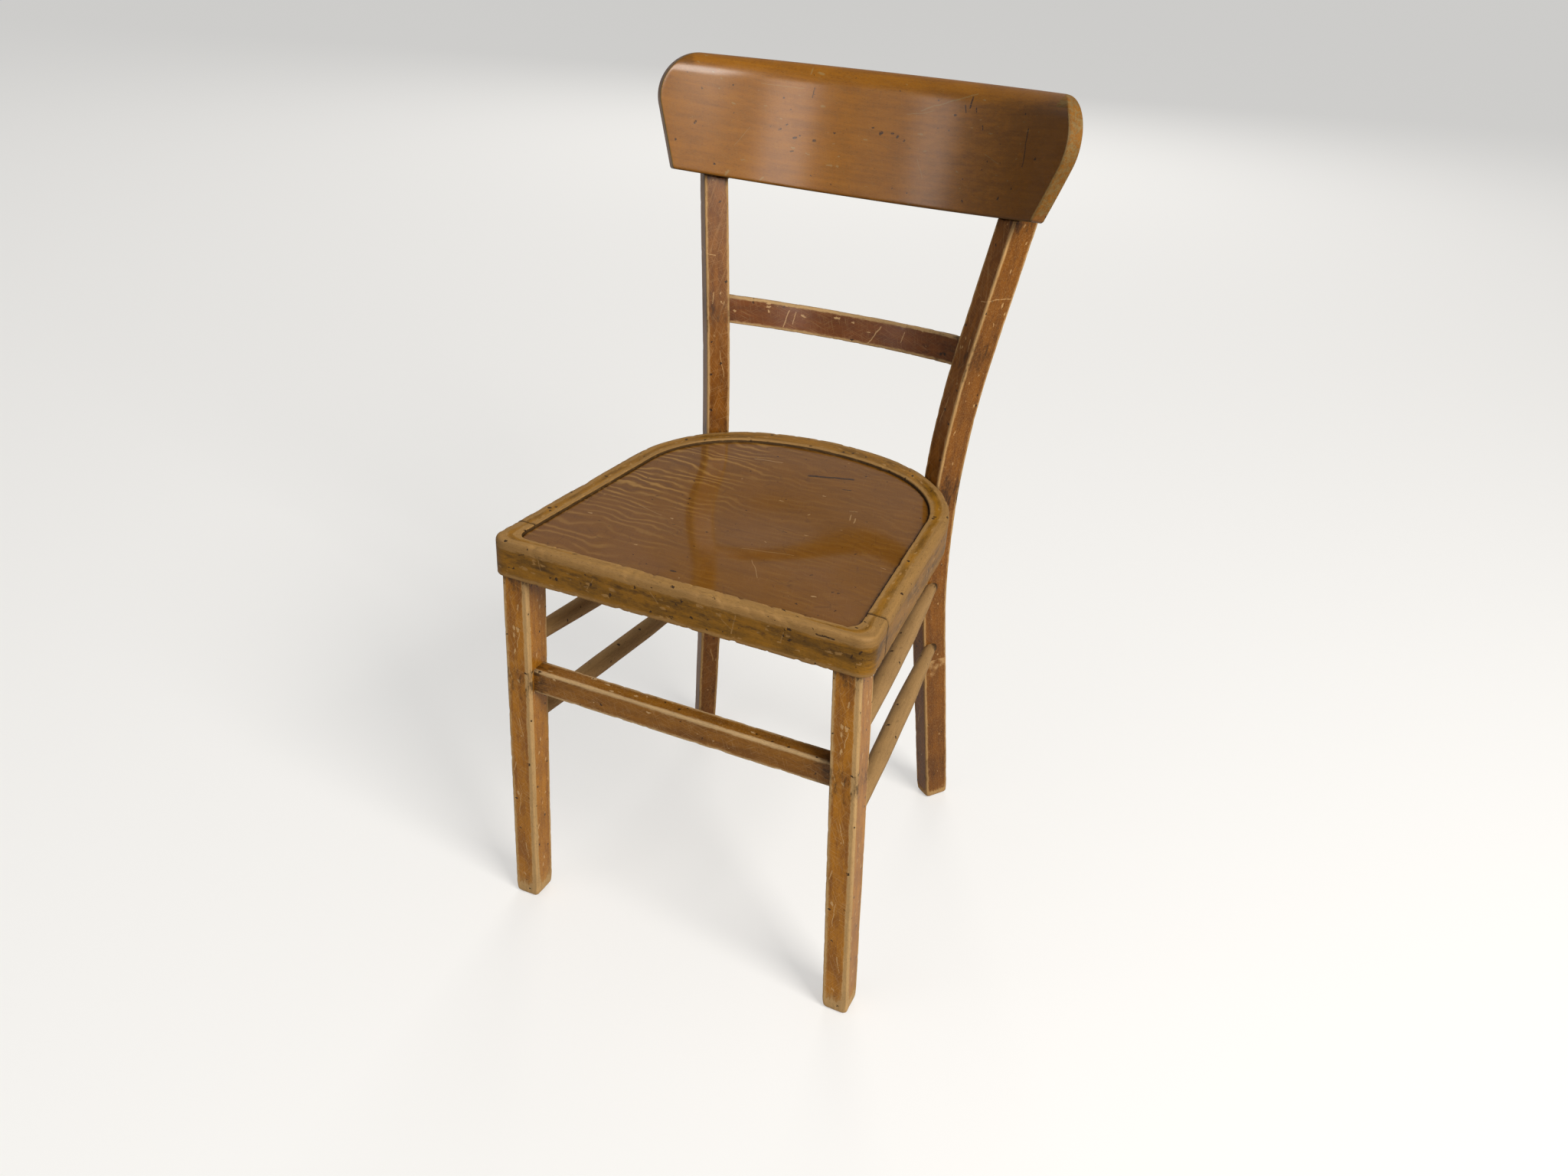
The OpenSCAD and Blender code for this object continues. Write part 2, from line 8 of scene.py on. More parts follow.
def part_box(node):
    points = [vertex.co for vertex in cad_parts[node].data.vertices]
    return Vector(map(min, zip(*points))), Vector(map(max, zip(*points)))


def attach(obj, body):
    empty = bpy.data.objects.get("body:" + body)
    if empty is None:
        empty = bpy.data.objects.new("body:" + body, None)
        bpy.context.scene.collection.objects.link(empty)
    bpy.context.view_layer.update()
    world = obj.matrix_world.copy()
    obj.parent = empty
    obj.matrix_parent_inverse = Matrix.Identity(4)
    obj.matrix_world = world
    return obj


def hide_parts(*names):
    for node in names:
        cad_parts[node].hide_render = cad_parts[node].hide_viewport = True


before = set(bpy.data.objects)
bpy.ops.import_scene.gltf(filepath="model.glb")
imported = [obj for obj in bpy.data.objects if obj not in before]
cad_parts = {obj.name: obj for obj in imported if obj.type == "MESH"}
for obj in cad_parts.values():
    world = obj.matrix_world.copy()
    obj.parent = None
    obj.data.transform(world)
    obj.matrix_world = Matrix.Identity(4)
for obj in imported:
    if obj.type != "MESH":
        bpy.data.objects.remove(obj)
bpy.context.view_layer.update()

bl_info = {
    "name": "Worn Varnished Chair",
    "version": (1, 0, 0),
    "blender": (4, 5, 0),
    "location": "3D View > Sidebar > Chair",
    "description": "Builds a worn, varnished wooden side chair round its packed frame",
    "category": "Object",
}

RAIL_LOW, RAIL_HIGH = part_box("front_rail")
LEG_TOP_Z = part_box("front_leg_right")[1].z
POST_TOP_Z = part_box("back_post_right")[1].z

# Sizes in metres. Depths are measured back from the front rail's face.
FRONT_Y = RAIL_LOW.y
FRAME_H = 0.040
REBATE_DEPTH = 0.0085
SIDE_LIP, FRONT_LIP, REAR_LIP, LEDGE = 0.0205, 0.013, 0.030, 0.012
SEAM_Y = 0.042
SEAT_SLOPE = math.radians(0.7)
SIDE_TAPER = math.radians(3.6)
PANEL_THICK, PANEL_GAP, PANEL_DROP = 0.005, 0.0004, 0.0035
DISH_REACH = 0.138

LEG_JOINT_Z = LEG_TOP_Z - 0.0205
LEG_SIDE_SET, LEG_FRONT_SET = 0.010, 0.004
LEG_SPLAY, LEG_LEAN = 0.0165, 0.012
LEG_FOOT_DEPTH, LEG_DEEPENS = 0.030, 0.004

POST_TURN, POST_PLACE = math.radians(36.7), math.radians(47.5)
POST_LET_IN = 0.0012
POST_BEND_R, POST_BEND_Z = 0.855, 0.400
POST_KICK, POST_RAKE = math.radians(9.4), math.radians(13.8)
POST_FOOT_IN, POST_FOOT_OUT = 0.008, 0.005

BACK_LEAN = math.radians(13.9)
CREST_TILT = math.radians(8.0)
CREST_END = math.radians(39.0)
CREST_BOTTOM_Z, CREST_LET_IN = 0.7285, 0.006
CREST_BOTTOM_HALF, CREST_CORNER_R = 0.193, 0.042
CREST_ROLL_H, CREST_ROLL_T = 0.022, 0.0145

SLAT_R, SLAT_THICK, SLAT_MID_Z = 0.215, 0.011, 0.590
SLAT_SET, SLAT_TENON = 0.013, 0.011

BAR_TOP_Z, BAR_H, BAR_DEPTH = 0.311, 0.027, 0.0185
BAR_SET, BAR_TENON = 0.0077, 0.004
ROD_LEVELS = (("upper", 0.337, 0.323), ("lower", 0.241, 0.238))
ROD_SET, ROD_AROUND, ROD_STEPS = 0.0075, 36, 130


def shade(red, green, blue):
    """Scene-linear colour for a shade given the way a paint chart gives it, 0 to 255."""
    out = []
    for part in (red, green, blue):
        part = part / 255.0
        out.append(part / 12.92 if part <= 0.04045 else ((part + 0.055) / 1.055) ** 2.4)
    return (out[0], out[1], out[2])


def length(name, description, default):
    return FloatProperty(name=name, description=description, default=default,
                         unit="LENGTH", subtype="DISTANCE")


def tint(name, description, red, green, blue):
    return FloatVectorProperty(name=name, description=description,
                               default=shade(red, green, blue),
                               subtype="COLOR", size=3, min=0, max=1)


class ChairSizes(bpy.types.PropertyGroup):
    seat_height: length(
        "Seat height", "Top of the seat frame above the floor, at its front", RAIL_HIGH.z)
    seat_width: length("Seat width", "Width of the seat frame at its front", 0.388)
    seat_depth: length("Seat depth", "Depth of the seat frame, front to back", 0.396)
    rear_radius: length("Hoop back radius", "Radius of the hoop's back bend", 0.236)
    corner_radius: length("Hoop corner radius", "Radius of the hoop's corner bends", 0.154)
    dish_depth: length("Dish depth", "Depth of the dish pressed into the seat panel", 0.0055)
    leg_width: length("Leg width", "Width of a front leg", 0.027)
    post_width: length("Post width", "Width of a back post's front face", 0.026)
    post_depth: length("Post depth", "Depth of a back post", 0.031)
    crest_height: length("Crest height", "Height of the crest rail's face at its middle", 0.127)
    crest_thickness: length("Crest thickness", "Thickness of the crest rail", 0.017)
    crest_radius: length("Crest radius", "Radius of the crest rail's hollow face", 0.275)
    crest_left: length("Crest left half", "Half width of the crest rail at its left end", 0.209)
    crest_right: length("Crest right half", "Half width of the crest rail at its right end", 0.219)
    slat_height: length("Slat height", "Height of the back slat's face", 0.0307)
    rod_diameter: length("Side stretcher diameter", "Largest diameter of a side stretcher", 0.0205)


class ChairColours(bpy.types.PropertyGroup):
    frame_varnish: tint("Frame varnish", "Varnish of the front rail and the hoop", 154, 104, 16)
    leg_varnish: tint("Leg varnish", "Varnish of the front legs", 188, 122, 18)
    post_varnish: tint("Post varnish", "Varnish of the back posts", 136, 80, 8)
    back_varnish: tint("Crest varnish", "Varnish of the crest rail", 152, 95, 7)
    slat_varnish: tint("Slat varnish", "Varnish of the back slat", 118, 62, 4)
    stretcher_varnish: tint("Stretcher varnish", "Varnish of the front stretcher", 150, 96, 18)
    rod_varnish: tint("Rod varnish", "Varnish of the side stretchers", 142, 94, 30)
    bare_wood: tint("Bare wood", "Pale beech where the varnish is rubbed away", 198, 160, 108)
    # The grime colour is also the tone of the painted shade on the crest rail
    grime_and_shade: tint("Grime", "Dark dirt in pores, joints and dents", 44, 26, 8)
    seat_veneer: tint("Seat veneer", "Brown of the varnished seat veneer", 124, 77, 5)
    seat_plum: tint("Seat veneer, plum", "Plum brown where sitters have rubbed it", 118, 76, 34)
    screw_metal: tint("Screws", "Tarnished steel of the screws", 150, 140, 124)


# ---- Sections and lofts ----

SIDE_STOPS = (0.03, 0.08, 0.16, 0.3, 0.5, 0.7, 0.84, 0.92, 0.97)


def rounded_section(corners, rounds, stops=SIDE_STOPS, bends=4):
    """Closed section with eased corners: its points and their distances from the nearest arris."""
    points, arris = [], []
    count = len(corners)
    corners = [Vector(c) for c in corners]
    starts, ends = [], []
    for i, corner in enumerate(corners):
        before, after = corners[i - 1], corners[(i + 1) % count]
        starts.append(corner + (before - corner).normalized() * rounds[i])
        ends.append(corner + (after - corner).normalized() * rounds[i])
    for i, corner in enumerate(corners):
        for k in range(bends + 1):
            t = k / bends
            points.append(starts[i] * (1 - t) ** 2 + corner * 2 * t * (1 - t) + ends[i] * t * t)
            arris.append(0.0)
        nxt = (i + 1) % count
        span = (starts[nxt] - ends[i]).length
        for t in stops:
            points.append(ends[i].lerp(starts[nxt], t))
            arris.append(span * min(t, 1 - t))
    return np.array([p[:] for p in points]), np.array(arris)


def box_corners(low_x, high_x, low_y, high_y):
    """Corners of a rectangle, in order round it."""
    return [(low_x, low_y), (high_x, low_y), (high_x, high_y), (low_x, high_y)]


def store(mesh, label, values, kind="FLOAT"):
    layer = mesh.attributes.new(label, kind, "POINT")
    layer.data.foreach_set("vector" if kind == "FLOAT_VECTOR" else "value",
                           np.asarray(values, np.float32).ravel())


def give(piece, mat):
    piece.data.materials.clear()
    piece.data.materials.append(mat)


def make_piece(name, points, faces, lay, arris, wear, dirt_and_shade, finish, nodes):
    """Mesh object with its grain lay, arris distance, wear, and dirt with painted shade stored on
    its points.
    """
    mesh = bpy.data.meshes.new(name)
    mesh.from_pydata([tuple(p) for p in points], [], faces)
    mesh.validate()
    mesh.shade_smooth()
    mesh.set_sharp_from_angle(angle=math.radians(42))
    store(mesh, "lay", lay, "FLOAT_VECTOR")
    store(mesh, "arris", arris)
    store(mesh, "wear", wear)
    piece = bpy.data.objects.new(name, mesh)
    bpy.context.scene.collection.objects.link(piece)
    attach(piece, "root")
    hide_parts(*nodes)
    store(mesh, "dirt_and_shade", dirt_and_shade)
    give(piece, bpy.data.materials[finish])


def loft_sides(rings, around):
    faces = []
    for low in range(0, (rings - 1) * around, around):
        for j in range(around):
            k = (j + 1) % around
            faces.append((low + j, low + k, low + around + k, low + around + j))
    return faces


def loft_faces(rings, around):
    """Sides of a loft, and its two end caps."""
    first, last = range(around - 1, -1, -1), range((rings - 1) * around, rings * around)
    return loft_sides(rings, around) + [tuple(first), tuple(last)]


def flip(faces):
    return [tuple(reversed(f)) for f in faces]


def rows_of_three(*lists):
    """Rings of points or directions, each list run together into one array."""
    return [np.array(rings).reshape(-1, 3) for rings in lists]


def knock(points, lay, arris, seed, depth, size, reach=0.004, above=0.1):
    """Dents and chips along the arrises: each point's inward push, in metres."""
    push = np.zeros(len(points))
    for i in range(len(points)):
        if arris[i] > reach:
            continue
        spot = Vector((lay[i][0] / size + seed, lay[i][1] / size * 0.6, lay[i][2] / size * 0.6))
        rough = noise.noise(spot) + 0.4 * noise.noise(spot * 3.1)
        near = 1 - arris[i] / reach
        push[i] = depth * max(0.0, rough - above) * near
    return push


def pushed(points, centres, push):
    """Points moved towards their ring's centre by the given distances."""
    way = centres - points
    size = np.linalg.norm(way, axis=1, keepdims=True)
    return points + way / np.maximum(size, 1e-6) * push[:, None]


def wavy(seed, value, size):
    """Smooth unevenness along a piece, about -0.5 to 0.5."""
    return noise.noise(Vector((value / size, seed, 0.37)))


# ---- Seat outlines ----

def corner_start(plan):
    reach = plan["half"] * math.cos(SIDE_TAPER) - plan["bend"]
    return Vector((math.cos(SIDE_TAPER), math.sin(SIDE_TAPER))) * reach


def bend_centre(plan):
    """Centre of the right corner bend, which joins the side's line to the back bend."""
    side = Vector((-math.sin(SIDE_TAPER), math.cos(SIDE_TAPER)))
    back = Vector((0, plan["rear"] - plan["rear_r"]))
    start = corner_start(plan)
    away = start - back
    b = side.dot(away)
    c = away.dot(away) - (plan["rear_r"] - plan["bend"]) ** 2
    return start + side * (math.sqrt(b * b - c) - b)


def inset(plan, by):
    """An outline drawn in by a distance."""
    return {"half": plan["half"] - by / math.cos(SIDE_TAPER), "front": plan["front"] + by,
            "front_r": max(plan["front_r"] - by, 0.001), "rear": plan["rear"] - by,
            "rear_r": plan["rear_r"] - by, "bend": plan["bend"] - by}


def half_outline(plan, counts=(96, 10, 15, 44, 64, 44)):
    """Right half of an outline, from the middle of the front to the middle of the back."""
    fy = plan["front"] + plan["front_r"]
    fx = (plan["half"] * math.cos(SIDE_TAPER) - plan["front_r"]
          - fy * math.sin(SIDE_TAPER)) / math.cos(SIDE_TAPER)
    bend = bend_centre(plan)
    back = Vector((0, plan["rear"] - plan["rear_r"]))
    away = bend - back
    join = math.atan2(away.y, away.x)
    normal = Vector((math.cos(SIDE_TAPER), math.sin(SIDE_TAPER)))
    side_from = Vector((fx, fy)) + normal * plan["front_r"]
    side_to = bend + normal * plan["bend"]
    seam = side_from.lerp(side_to, (SEAM_Y - side_from.y) / (side_to.y - side_from.y))
    out = [Vector((fx * i / counts[0], plan["front"])) for i in range(counts[0])]

    def swing(centre, radius, start, end, steps):
        for i in range(steps):
            a = start + (end - start) * i / steps
            out.append(centre + Vector((math.cos(a), math.sin(a))) * radius)

    swing(Vector((fx, fy)), plan["front_r"], -math.pi / 2, SIDE_TAPER, counts[1])
    out.extend(side_from.lerp(seam, i / counts[2]) for i in range(counts[2]))
    out.extend(seam.lerp(side_to, i / counts[3]) for i in range(counts[3]))
    swing(bend, plan["bend"], SIDE_TAPER, join, counts[4])
    swing(back, plan["rear_r"], join, math.pi / 2, counts[5])
    out.append(Vector((0, plan["rear"])))
    return out, counts[0] + counts[1] + counts[2]


def full_outline(plan):
    """Whole outline, from the middle of the back round by the left, and the two seams' places."""
    half, seam = half_outline(plan)
    left = [Vector((-p.x, p.y)) for p in reversed(half[1:])]
    middle = len(left)
    return left + half[:-1], middle - seam, middle + seam


def seat_level(points, frame_z):
    """Points of the seat frame or panel, sloped a little towards the back."""
    c, s = math.cos(SEAT_SLOPE), math.sin(SEAT_SLOPE)
    y, z = points[:, 1].copy(), points[:, 2] - frame_z
    points[:, 1] = y * c + z * s + FRONT_Y
    points[:, 2] = -y * s + z * c + frame_z
    return points


def seat_plans(sizes):
    outer = {"half": sizes.seat_width / 2, "front": 0.0, "front_r": 0.014, "rear": sizes.seat_depth,
             "rear_r": sizes.rear_radius, "bend": sizes.corner_radius}
    recess = {"half": outer["half"] - SIDE_LIP, "front": FRONT_LIP, "front_r": 0.013,
              "rear": outer["rear"] - REAR_LIP, "rear_r": 0.236, "bend": 0.122}
    return outer, recess, inset(recess, LEDGE)


def frame_run(sizes, start, stop):
    """Rings of the seat frame's section between two stations of its outline."""
    outer, recess, opening = (full_outline(p)[0] for p in seat_plans(sizes))
    count = len(outer)
    frame_z = sizes.seat_height - FRAME_H
    lip = FRAME_H - REBATE_DEPTH
    along = 0.0
    rings, lays, arrises, middles = [], [], [], []
    previous = None
    for station in range(start, stop + 1):
        o, r, i = (line[station % count] for line in (outer, recess, opening))
        inward = (r - o).normalized()
        wide, deep = (r - o).length, (i - o).length
        section, arris = rounded_section(
            [(0, 0), (0, FRAME_H), (wide, FRAME_H), (wide, lip), (deep, lip), (deep, 0)],
            [0.002, 0.0062, 0.0014, 0.0003, 0.0008, 0.001], bends=5)
        along += (o - previous).length if previous is not None else 0.0
        previous = o
        rings.append([(o.x + inward.x * a, o.y + inward.y * a, frame_z + h) for a, h in section])
        lays.append([(along, h, a) for a, h in section])
        arrises.append(arris)
        middle = o + inward * wide * 0.5
        middles.append([(middle.x, middle.y, frame_z + FRAME_H * 0.45)] * len(section))
    points, lay, centres = rows_of_three(rings, lays, middles)
    return points, lay, np.array(arrises).ravel(), centres, len(rings[0])


# ---- Materials ----

VALUE, VECTOR, COLOUR = "NodeSocketFloat", "NodeSocketVector", "NodeSocketColor"


def new_group(name, inputs, outputs):
    """New node group: the means to wire it, and its input sockets."""
    group = bpy.data.node_groups.new(name, "ShaderNodeTree")
    for label, kind, default in inputs:
        socket = group.interface.new_socket(name=label, in_out="INPUT", socket_type=kind)
        if default is not None:
            socket.default_value = default
    for label, kind in outputs:
        group.interface.new_socket(name=label, in_out="OUTPUT", socket_type=kind)
    w = Wiring(group)
    return w, w.put("NodeGroupInput").outputs


class Wiring:
    """Short hand for placing and joining a node tree's nodes."""

    def __init__(self, tree):
        self.tree = tree

    def put(self, kind, links=None, **settings):
        node = self.tree.nodes.new(kind)
        for key, value in settings.items():
            setattr(node, key, value)
        for key, value in (links or {}).items():
            if isinstance(value, bpy.types.NodeSocket):
                self.tree.links.new(value, node.inputs[key])
            else:
                node.inputs[key].default_value = value
        return node

    def math(self, operation, a, b=0.0, c=0.0, clamp=False):
        return self.put("ShaderNodeMath", {0: a, 1: b, 2: c}, operation=operation,
                        use_clamp=clamp).outputs[0]

    def times(self, a, b):
        return self.math("MULTIPLY", a, b)

    def plus(self, a, b, clamp=False):
        return self.math("ADD", a, b, clamp=clamp)

    def minus(self, a, b, clamp=False):
        return self.math("SUBTRACT", a, b, clamp=clamp)

    def vector(self, operation, a, b, c=None, output=0):
        links = {0: a, 1: b} if c is None else {0: a, 1: b, 2: c}
        return self.put("ShaderNodeVectorMath", links, operation=operation).outputs[output]

    def scaled(self, vector, by):
        return self.vector("MULTIPLY", vector, by)

    def seeded(self, inputs):
        """A group's lay, moved by its seed so that no two pieces share a pattern."""
        seed = inputs["Seed"]
        shift = self.put("ShaderNodeCombineXYZ", {0: seed, 1: seed, 2: seed}).outputs[0]
        return self.vector("ADD", inputs["Lay"], shift)

    def noise(self, vector, scale=1.0, detail=2.0, rough=0.5, distortion=0.0):
        return self.put("ShaderNodeTexNoise", {"Vector": vector, "Scale": scale, "Detail": detail,
                                               "Roughness": rough,
                                               "Distortion": distortion}).outputs["Fac"]

    def ramp(self, value, low, high, to_low=0.0, to_high=1.0):
        return self.put("ShaderNodeMapRange", {"Value": value, "From Min": low, "From Max": high,
                                               "To Min": to_low, "To Max": to_high},
                        interpolation_type="SMOOTHSTEP").outputs["Result"]

    def blend(self, share, a, b):
        return self.put("ShaderNodeMix", {0: share, 6: a, 7: b}, data_type="RGBA").outputs[2]

    def attribute(self, name, output="Fac"):
        return self.put("ShaderNodeAttribute", attribute_name=name).outputs[output]

    def group(self, name, links):
        return self.put("ShaderNodeGroup", links, node_tree=bpy.data.node_groups[name]).outputs


def colour4(rgb):
    return (rgb[0], rgb[1], rgb[2], 1.0)


def build_grain():
    """Beech grain: streaks, fine lines, flecks and broad patches."""
    w, inp = new_group(
        "Beech grain",
        [("Lay", VECTOR, None), ("Seed", VALUE, 0.0), ("Light", COLOUR, None),
         ("Deep", COLOUR, None), ("Streaks", VALUE, 0.5), ("Flecks", VALUE, 0.5),
         ("Patches", VALUE, 0.5)],
        [("Colour", COLOUR), ("Height", VALUE)])
    lay = w.seeded(inp)
    streaks = w.noise(w.scaled(lay, (9, 230, 230)), 1.0, 4.0, 0.62, 0.3)
    fine = w.noise(w.scaled(lay, (60, 1500, 1500)), 1.0, 2.0, 0.6)
    flecks = w.noise(w.scaled(lay, (330, 2600, 1200)), 1.0, 1.0, 0.5)
    patches = w.noise(w.scaled(lay, (24, 70, 70)), 1.0, 4.0, 0.65, 0.15)
    streak = w.times(w.ramp(streaks, 0.36, 0.66), inp["Streaks"])
    grainy = w.times(w.ramp(fine, 0.35, 0.7), w.times(inp["Streaks"], 0.45))
    fleck = w.times(w.ramp(flecks, 0.6, 0.68), inp["Flecks"])
    patch = w.times(w.ramp(patches, 0.38, 0.66), inp["Patches"])
    dark = w.plus(w.plus(streak, grainy), w.plus(fleck, patch), clamp=True)
    colour = w.blend(dark, inp["Light"], inp["Deep"])
    height = w.minus(w.times(fine, 0.5), w.times(fleck, 0.6))
    w.put("NodeGroupOutput", {"Colour": colour, "Height": height})


def build_arris_wear():
    """Where varnish is rubbed thin or off, mostly along the arrises."""
    w, inp = new_group(
        "Arris wear",
        [("Lay", VECTOR, None), ("Seed", VALUE, 0.0), ("Arris", VALUE, 0.01),
         ("Wear", VALUE, 0.0), ("Width", VALUE, 0.002), ("Ragged", VALUE, 1.0)],
        [("Bare", VALUE), ("Thin", VALUE)])
    lay = w.seeded(inp)
    broad = w.noise(w.scaled(lay, (50, 170, 170)), 1.0, 4.0, 0.65)
    torn = w.noise(w.scaled(lay, (160, 520, 520)), 1.0, 3.0, 0.7)
    ragged = w.plus(w.times(w.minus(broad, 0.5), 3.2), w.times(w.minus(torn, 0.5), 2.6))
    away = w.math("DIVIDE", inp["Arris"], inp["Width"])
    level = w.minus(w.plus(away, w.times(ragged, inp["Ragged"])), w.times(inp["Wear"], 4.0))
    bare = w.ramp(level, 0.9, 0.35)
    thin = w.ramp(level, 2.2, 0.5)
    w.put("NodeGroupOutput", {"Bare": bare, "Thin": thin})


def build_dirt_and_shade():
    """Dirt that gathers in joints and clouds the varnish round them, with a smooth darkening that
    also carries painted shade, as on the crest rail's right end.
    """
    w, inp = new_group(
        "Old dirt",
        [("Lay", VECTOR, None), ("Seed", VALUE, 0.0), ("Dirt_and_shade", VALUE, 0.0),
         ("Patches", VALUE, 0.5)],
        [("Dark", VALUE)])
    lay = w.seeded(inp)
    cloud = w.noise(w.scaled(lay, (70, 180, 180)), 1.0, 5.0, 0.7, 0.2)
    level = w.plus(inp["Dirt_and_shade"], w.times(w.minus(cloud, 0.5), 2.4))
    patch = w.times(w.ramp(level, 0.35, 0.85), w.ramp(inp["Dirt_and_shade"], 0.0, 0.25))
    # The smooth share darkens in step with the input: dirt, and painted shade on the crest rail
    dark = w.plus(w.times(patch, inp["Patches"]), w.times(inp["Dirt_and_shade"], 0.35), clamp=True)
    w.put("NodeGroupOutput", {"Dark": dark})


def build_scratches():
    """Thin scratches in three directions."""
    w, inp = new_group(
        "Fine scratches",
        [("Lay", VECTOR, None), ("Seed", VALUE, 0.0), ("Amount", VALUE, 0.5)],
        [("Scratch", VALUE)])
    lay = w.seeded(inp)
    found = None
    for turn, scale in ((0.35, (40, 1150, 1150)), (1.25, (55, 1300, 1300)),
                        (-0.6, (60, 1500, 1500))):
        turned = w.put("ShaderNodeVectorRotate", {"Vector": lay, "Angle": turn},
                       rotation_type="Z_AXIS").outputs[0]
        line = w.ramp(w.noise(w.scaled(turned, scale), 1.0, 1.0, 0.4), 0.615, 0.68)
        found = line if found is None else w.math("MAXIMUM", found, line)
    w.put("NodeGroupOutput", {"Scratch": w.times(found, inp["Amount"])})


def build_specks():
    """Scattered small specks of uneven size."""
    w, inp = new_group(
        "Specks",
        [("Lay", VECTOR, None), ("Seed", VALUE, 0.0), ("Per metre", VALUE, 120.0),
         ("Size", VALUE, 0.2), ("Share", VALUE, 0.3)],
        [("Speck", VALUE)])
    lay = w.seeded(inp)
    bent = w.put("ShaderNodeTexNoise", {"Vector": lay, "Scale": 420.0,
                                        "Detail": 1.0}).outputs["Color"]
    warped = w.vector("MULTIPLY_ADD", bent, (0.004, 0.004, 0.004), lay)
    cells = w.put("ShaderNodeTexVoronoi", {"Vector": warped, "Scale": inp["Per metre"],
                                           "Randomness": 1.0})
    chance = w.put("ShaderNodeSeparateColor", {0: cells.outputs["Color"]}).outputs
    chosen = w.math("LESS_THAN", chance[0], inp["Share"])
    size = w.times(chance[1], inp["Size"])
    spot = w.math("LESS_THAN", cells.outputs["Distance"], size)
    w.put("NodeGroupOutput", {"Speck": w.times(spot, chosen)})


def build_scored_line():
    """One mark, from a place along a run, with a torn edge."""
    w, inp = new_group(
        "Scored line",
        [("Lay", VECTOR, None), ("From", VECTOR, None), ("Run", VECTOR, None),
         ("Width", VALUE, 0.0006)],
        [("Line", VALUE)])
    shaky = w.put("ShaderNodeTexNoise", {"Vector": inp["Lay"], "Scale": 90.0,
                                         "Detail": 2.0}).outputs["Color"]
    shaken = w.vector("MULTIPLY_ADD", shaky, (0.003, 0.003, 0.0), inp["Lay"])
    flat = w.scaled(shaken, (1, 1, 0))
    away = w.vector("SUBTRACT", flat, inp["From"])
    top = w.vector("DOT_PRODUCT", away, inp["Run"], output="Value")
    size = w.vector("DOT_PRODUCT", inp["Run"], inp["Run"], output="Value")
    share = w.math("DIVIDE", top, size, clamp=True)
    foot = w.put("ShaderNodeVectorMath", {0: inp["Run"], "Scale": share},
                 operation="SCALE").outputs[0]
    gap = w.vector("DISTANCE", away, foot, output="Value")
    tear = w.noise(inp["Lay"], 900.0, 1.0, 0.5)
    line = w.ramp(w.math("DIVIDE", gap, inp["Width"]), 1.0, 0.35)
    w.put("NodeGroupOutput", {"Line": w.times(line, w.ramp(tear, 0.32, 0.42))})


MARK_SPREAD = 1.35


def scored(w, lay, found, rows):
    """Single marks added to a mask, which may be None."""
    for start, run, thick in rows:
        line = w.group("Scored line", {"Lay": lay, "From": start, "Run": run,
                                       "Width": thick * MARK_SPREAD})["Line"]
        found = line if found is None else w.math("MAXIMUM", found, line)
    return found


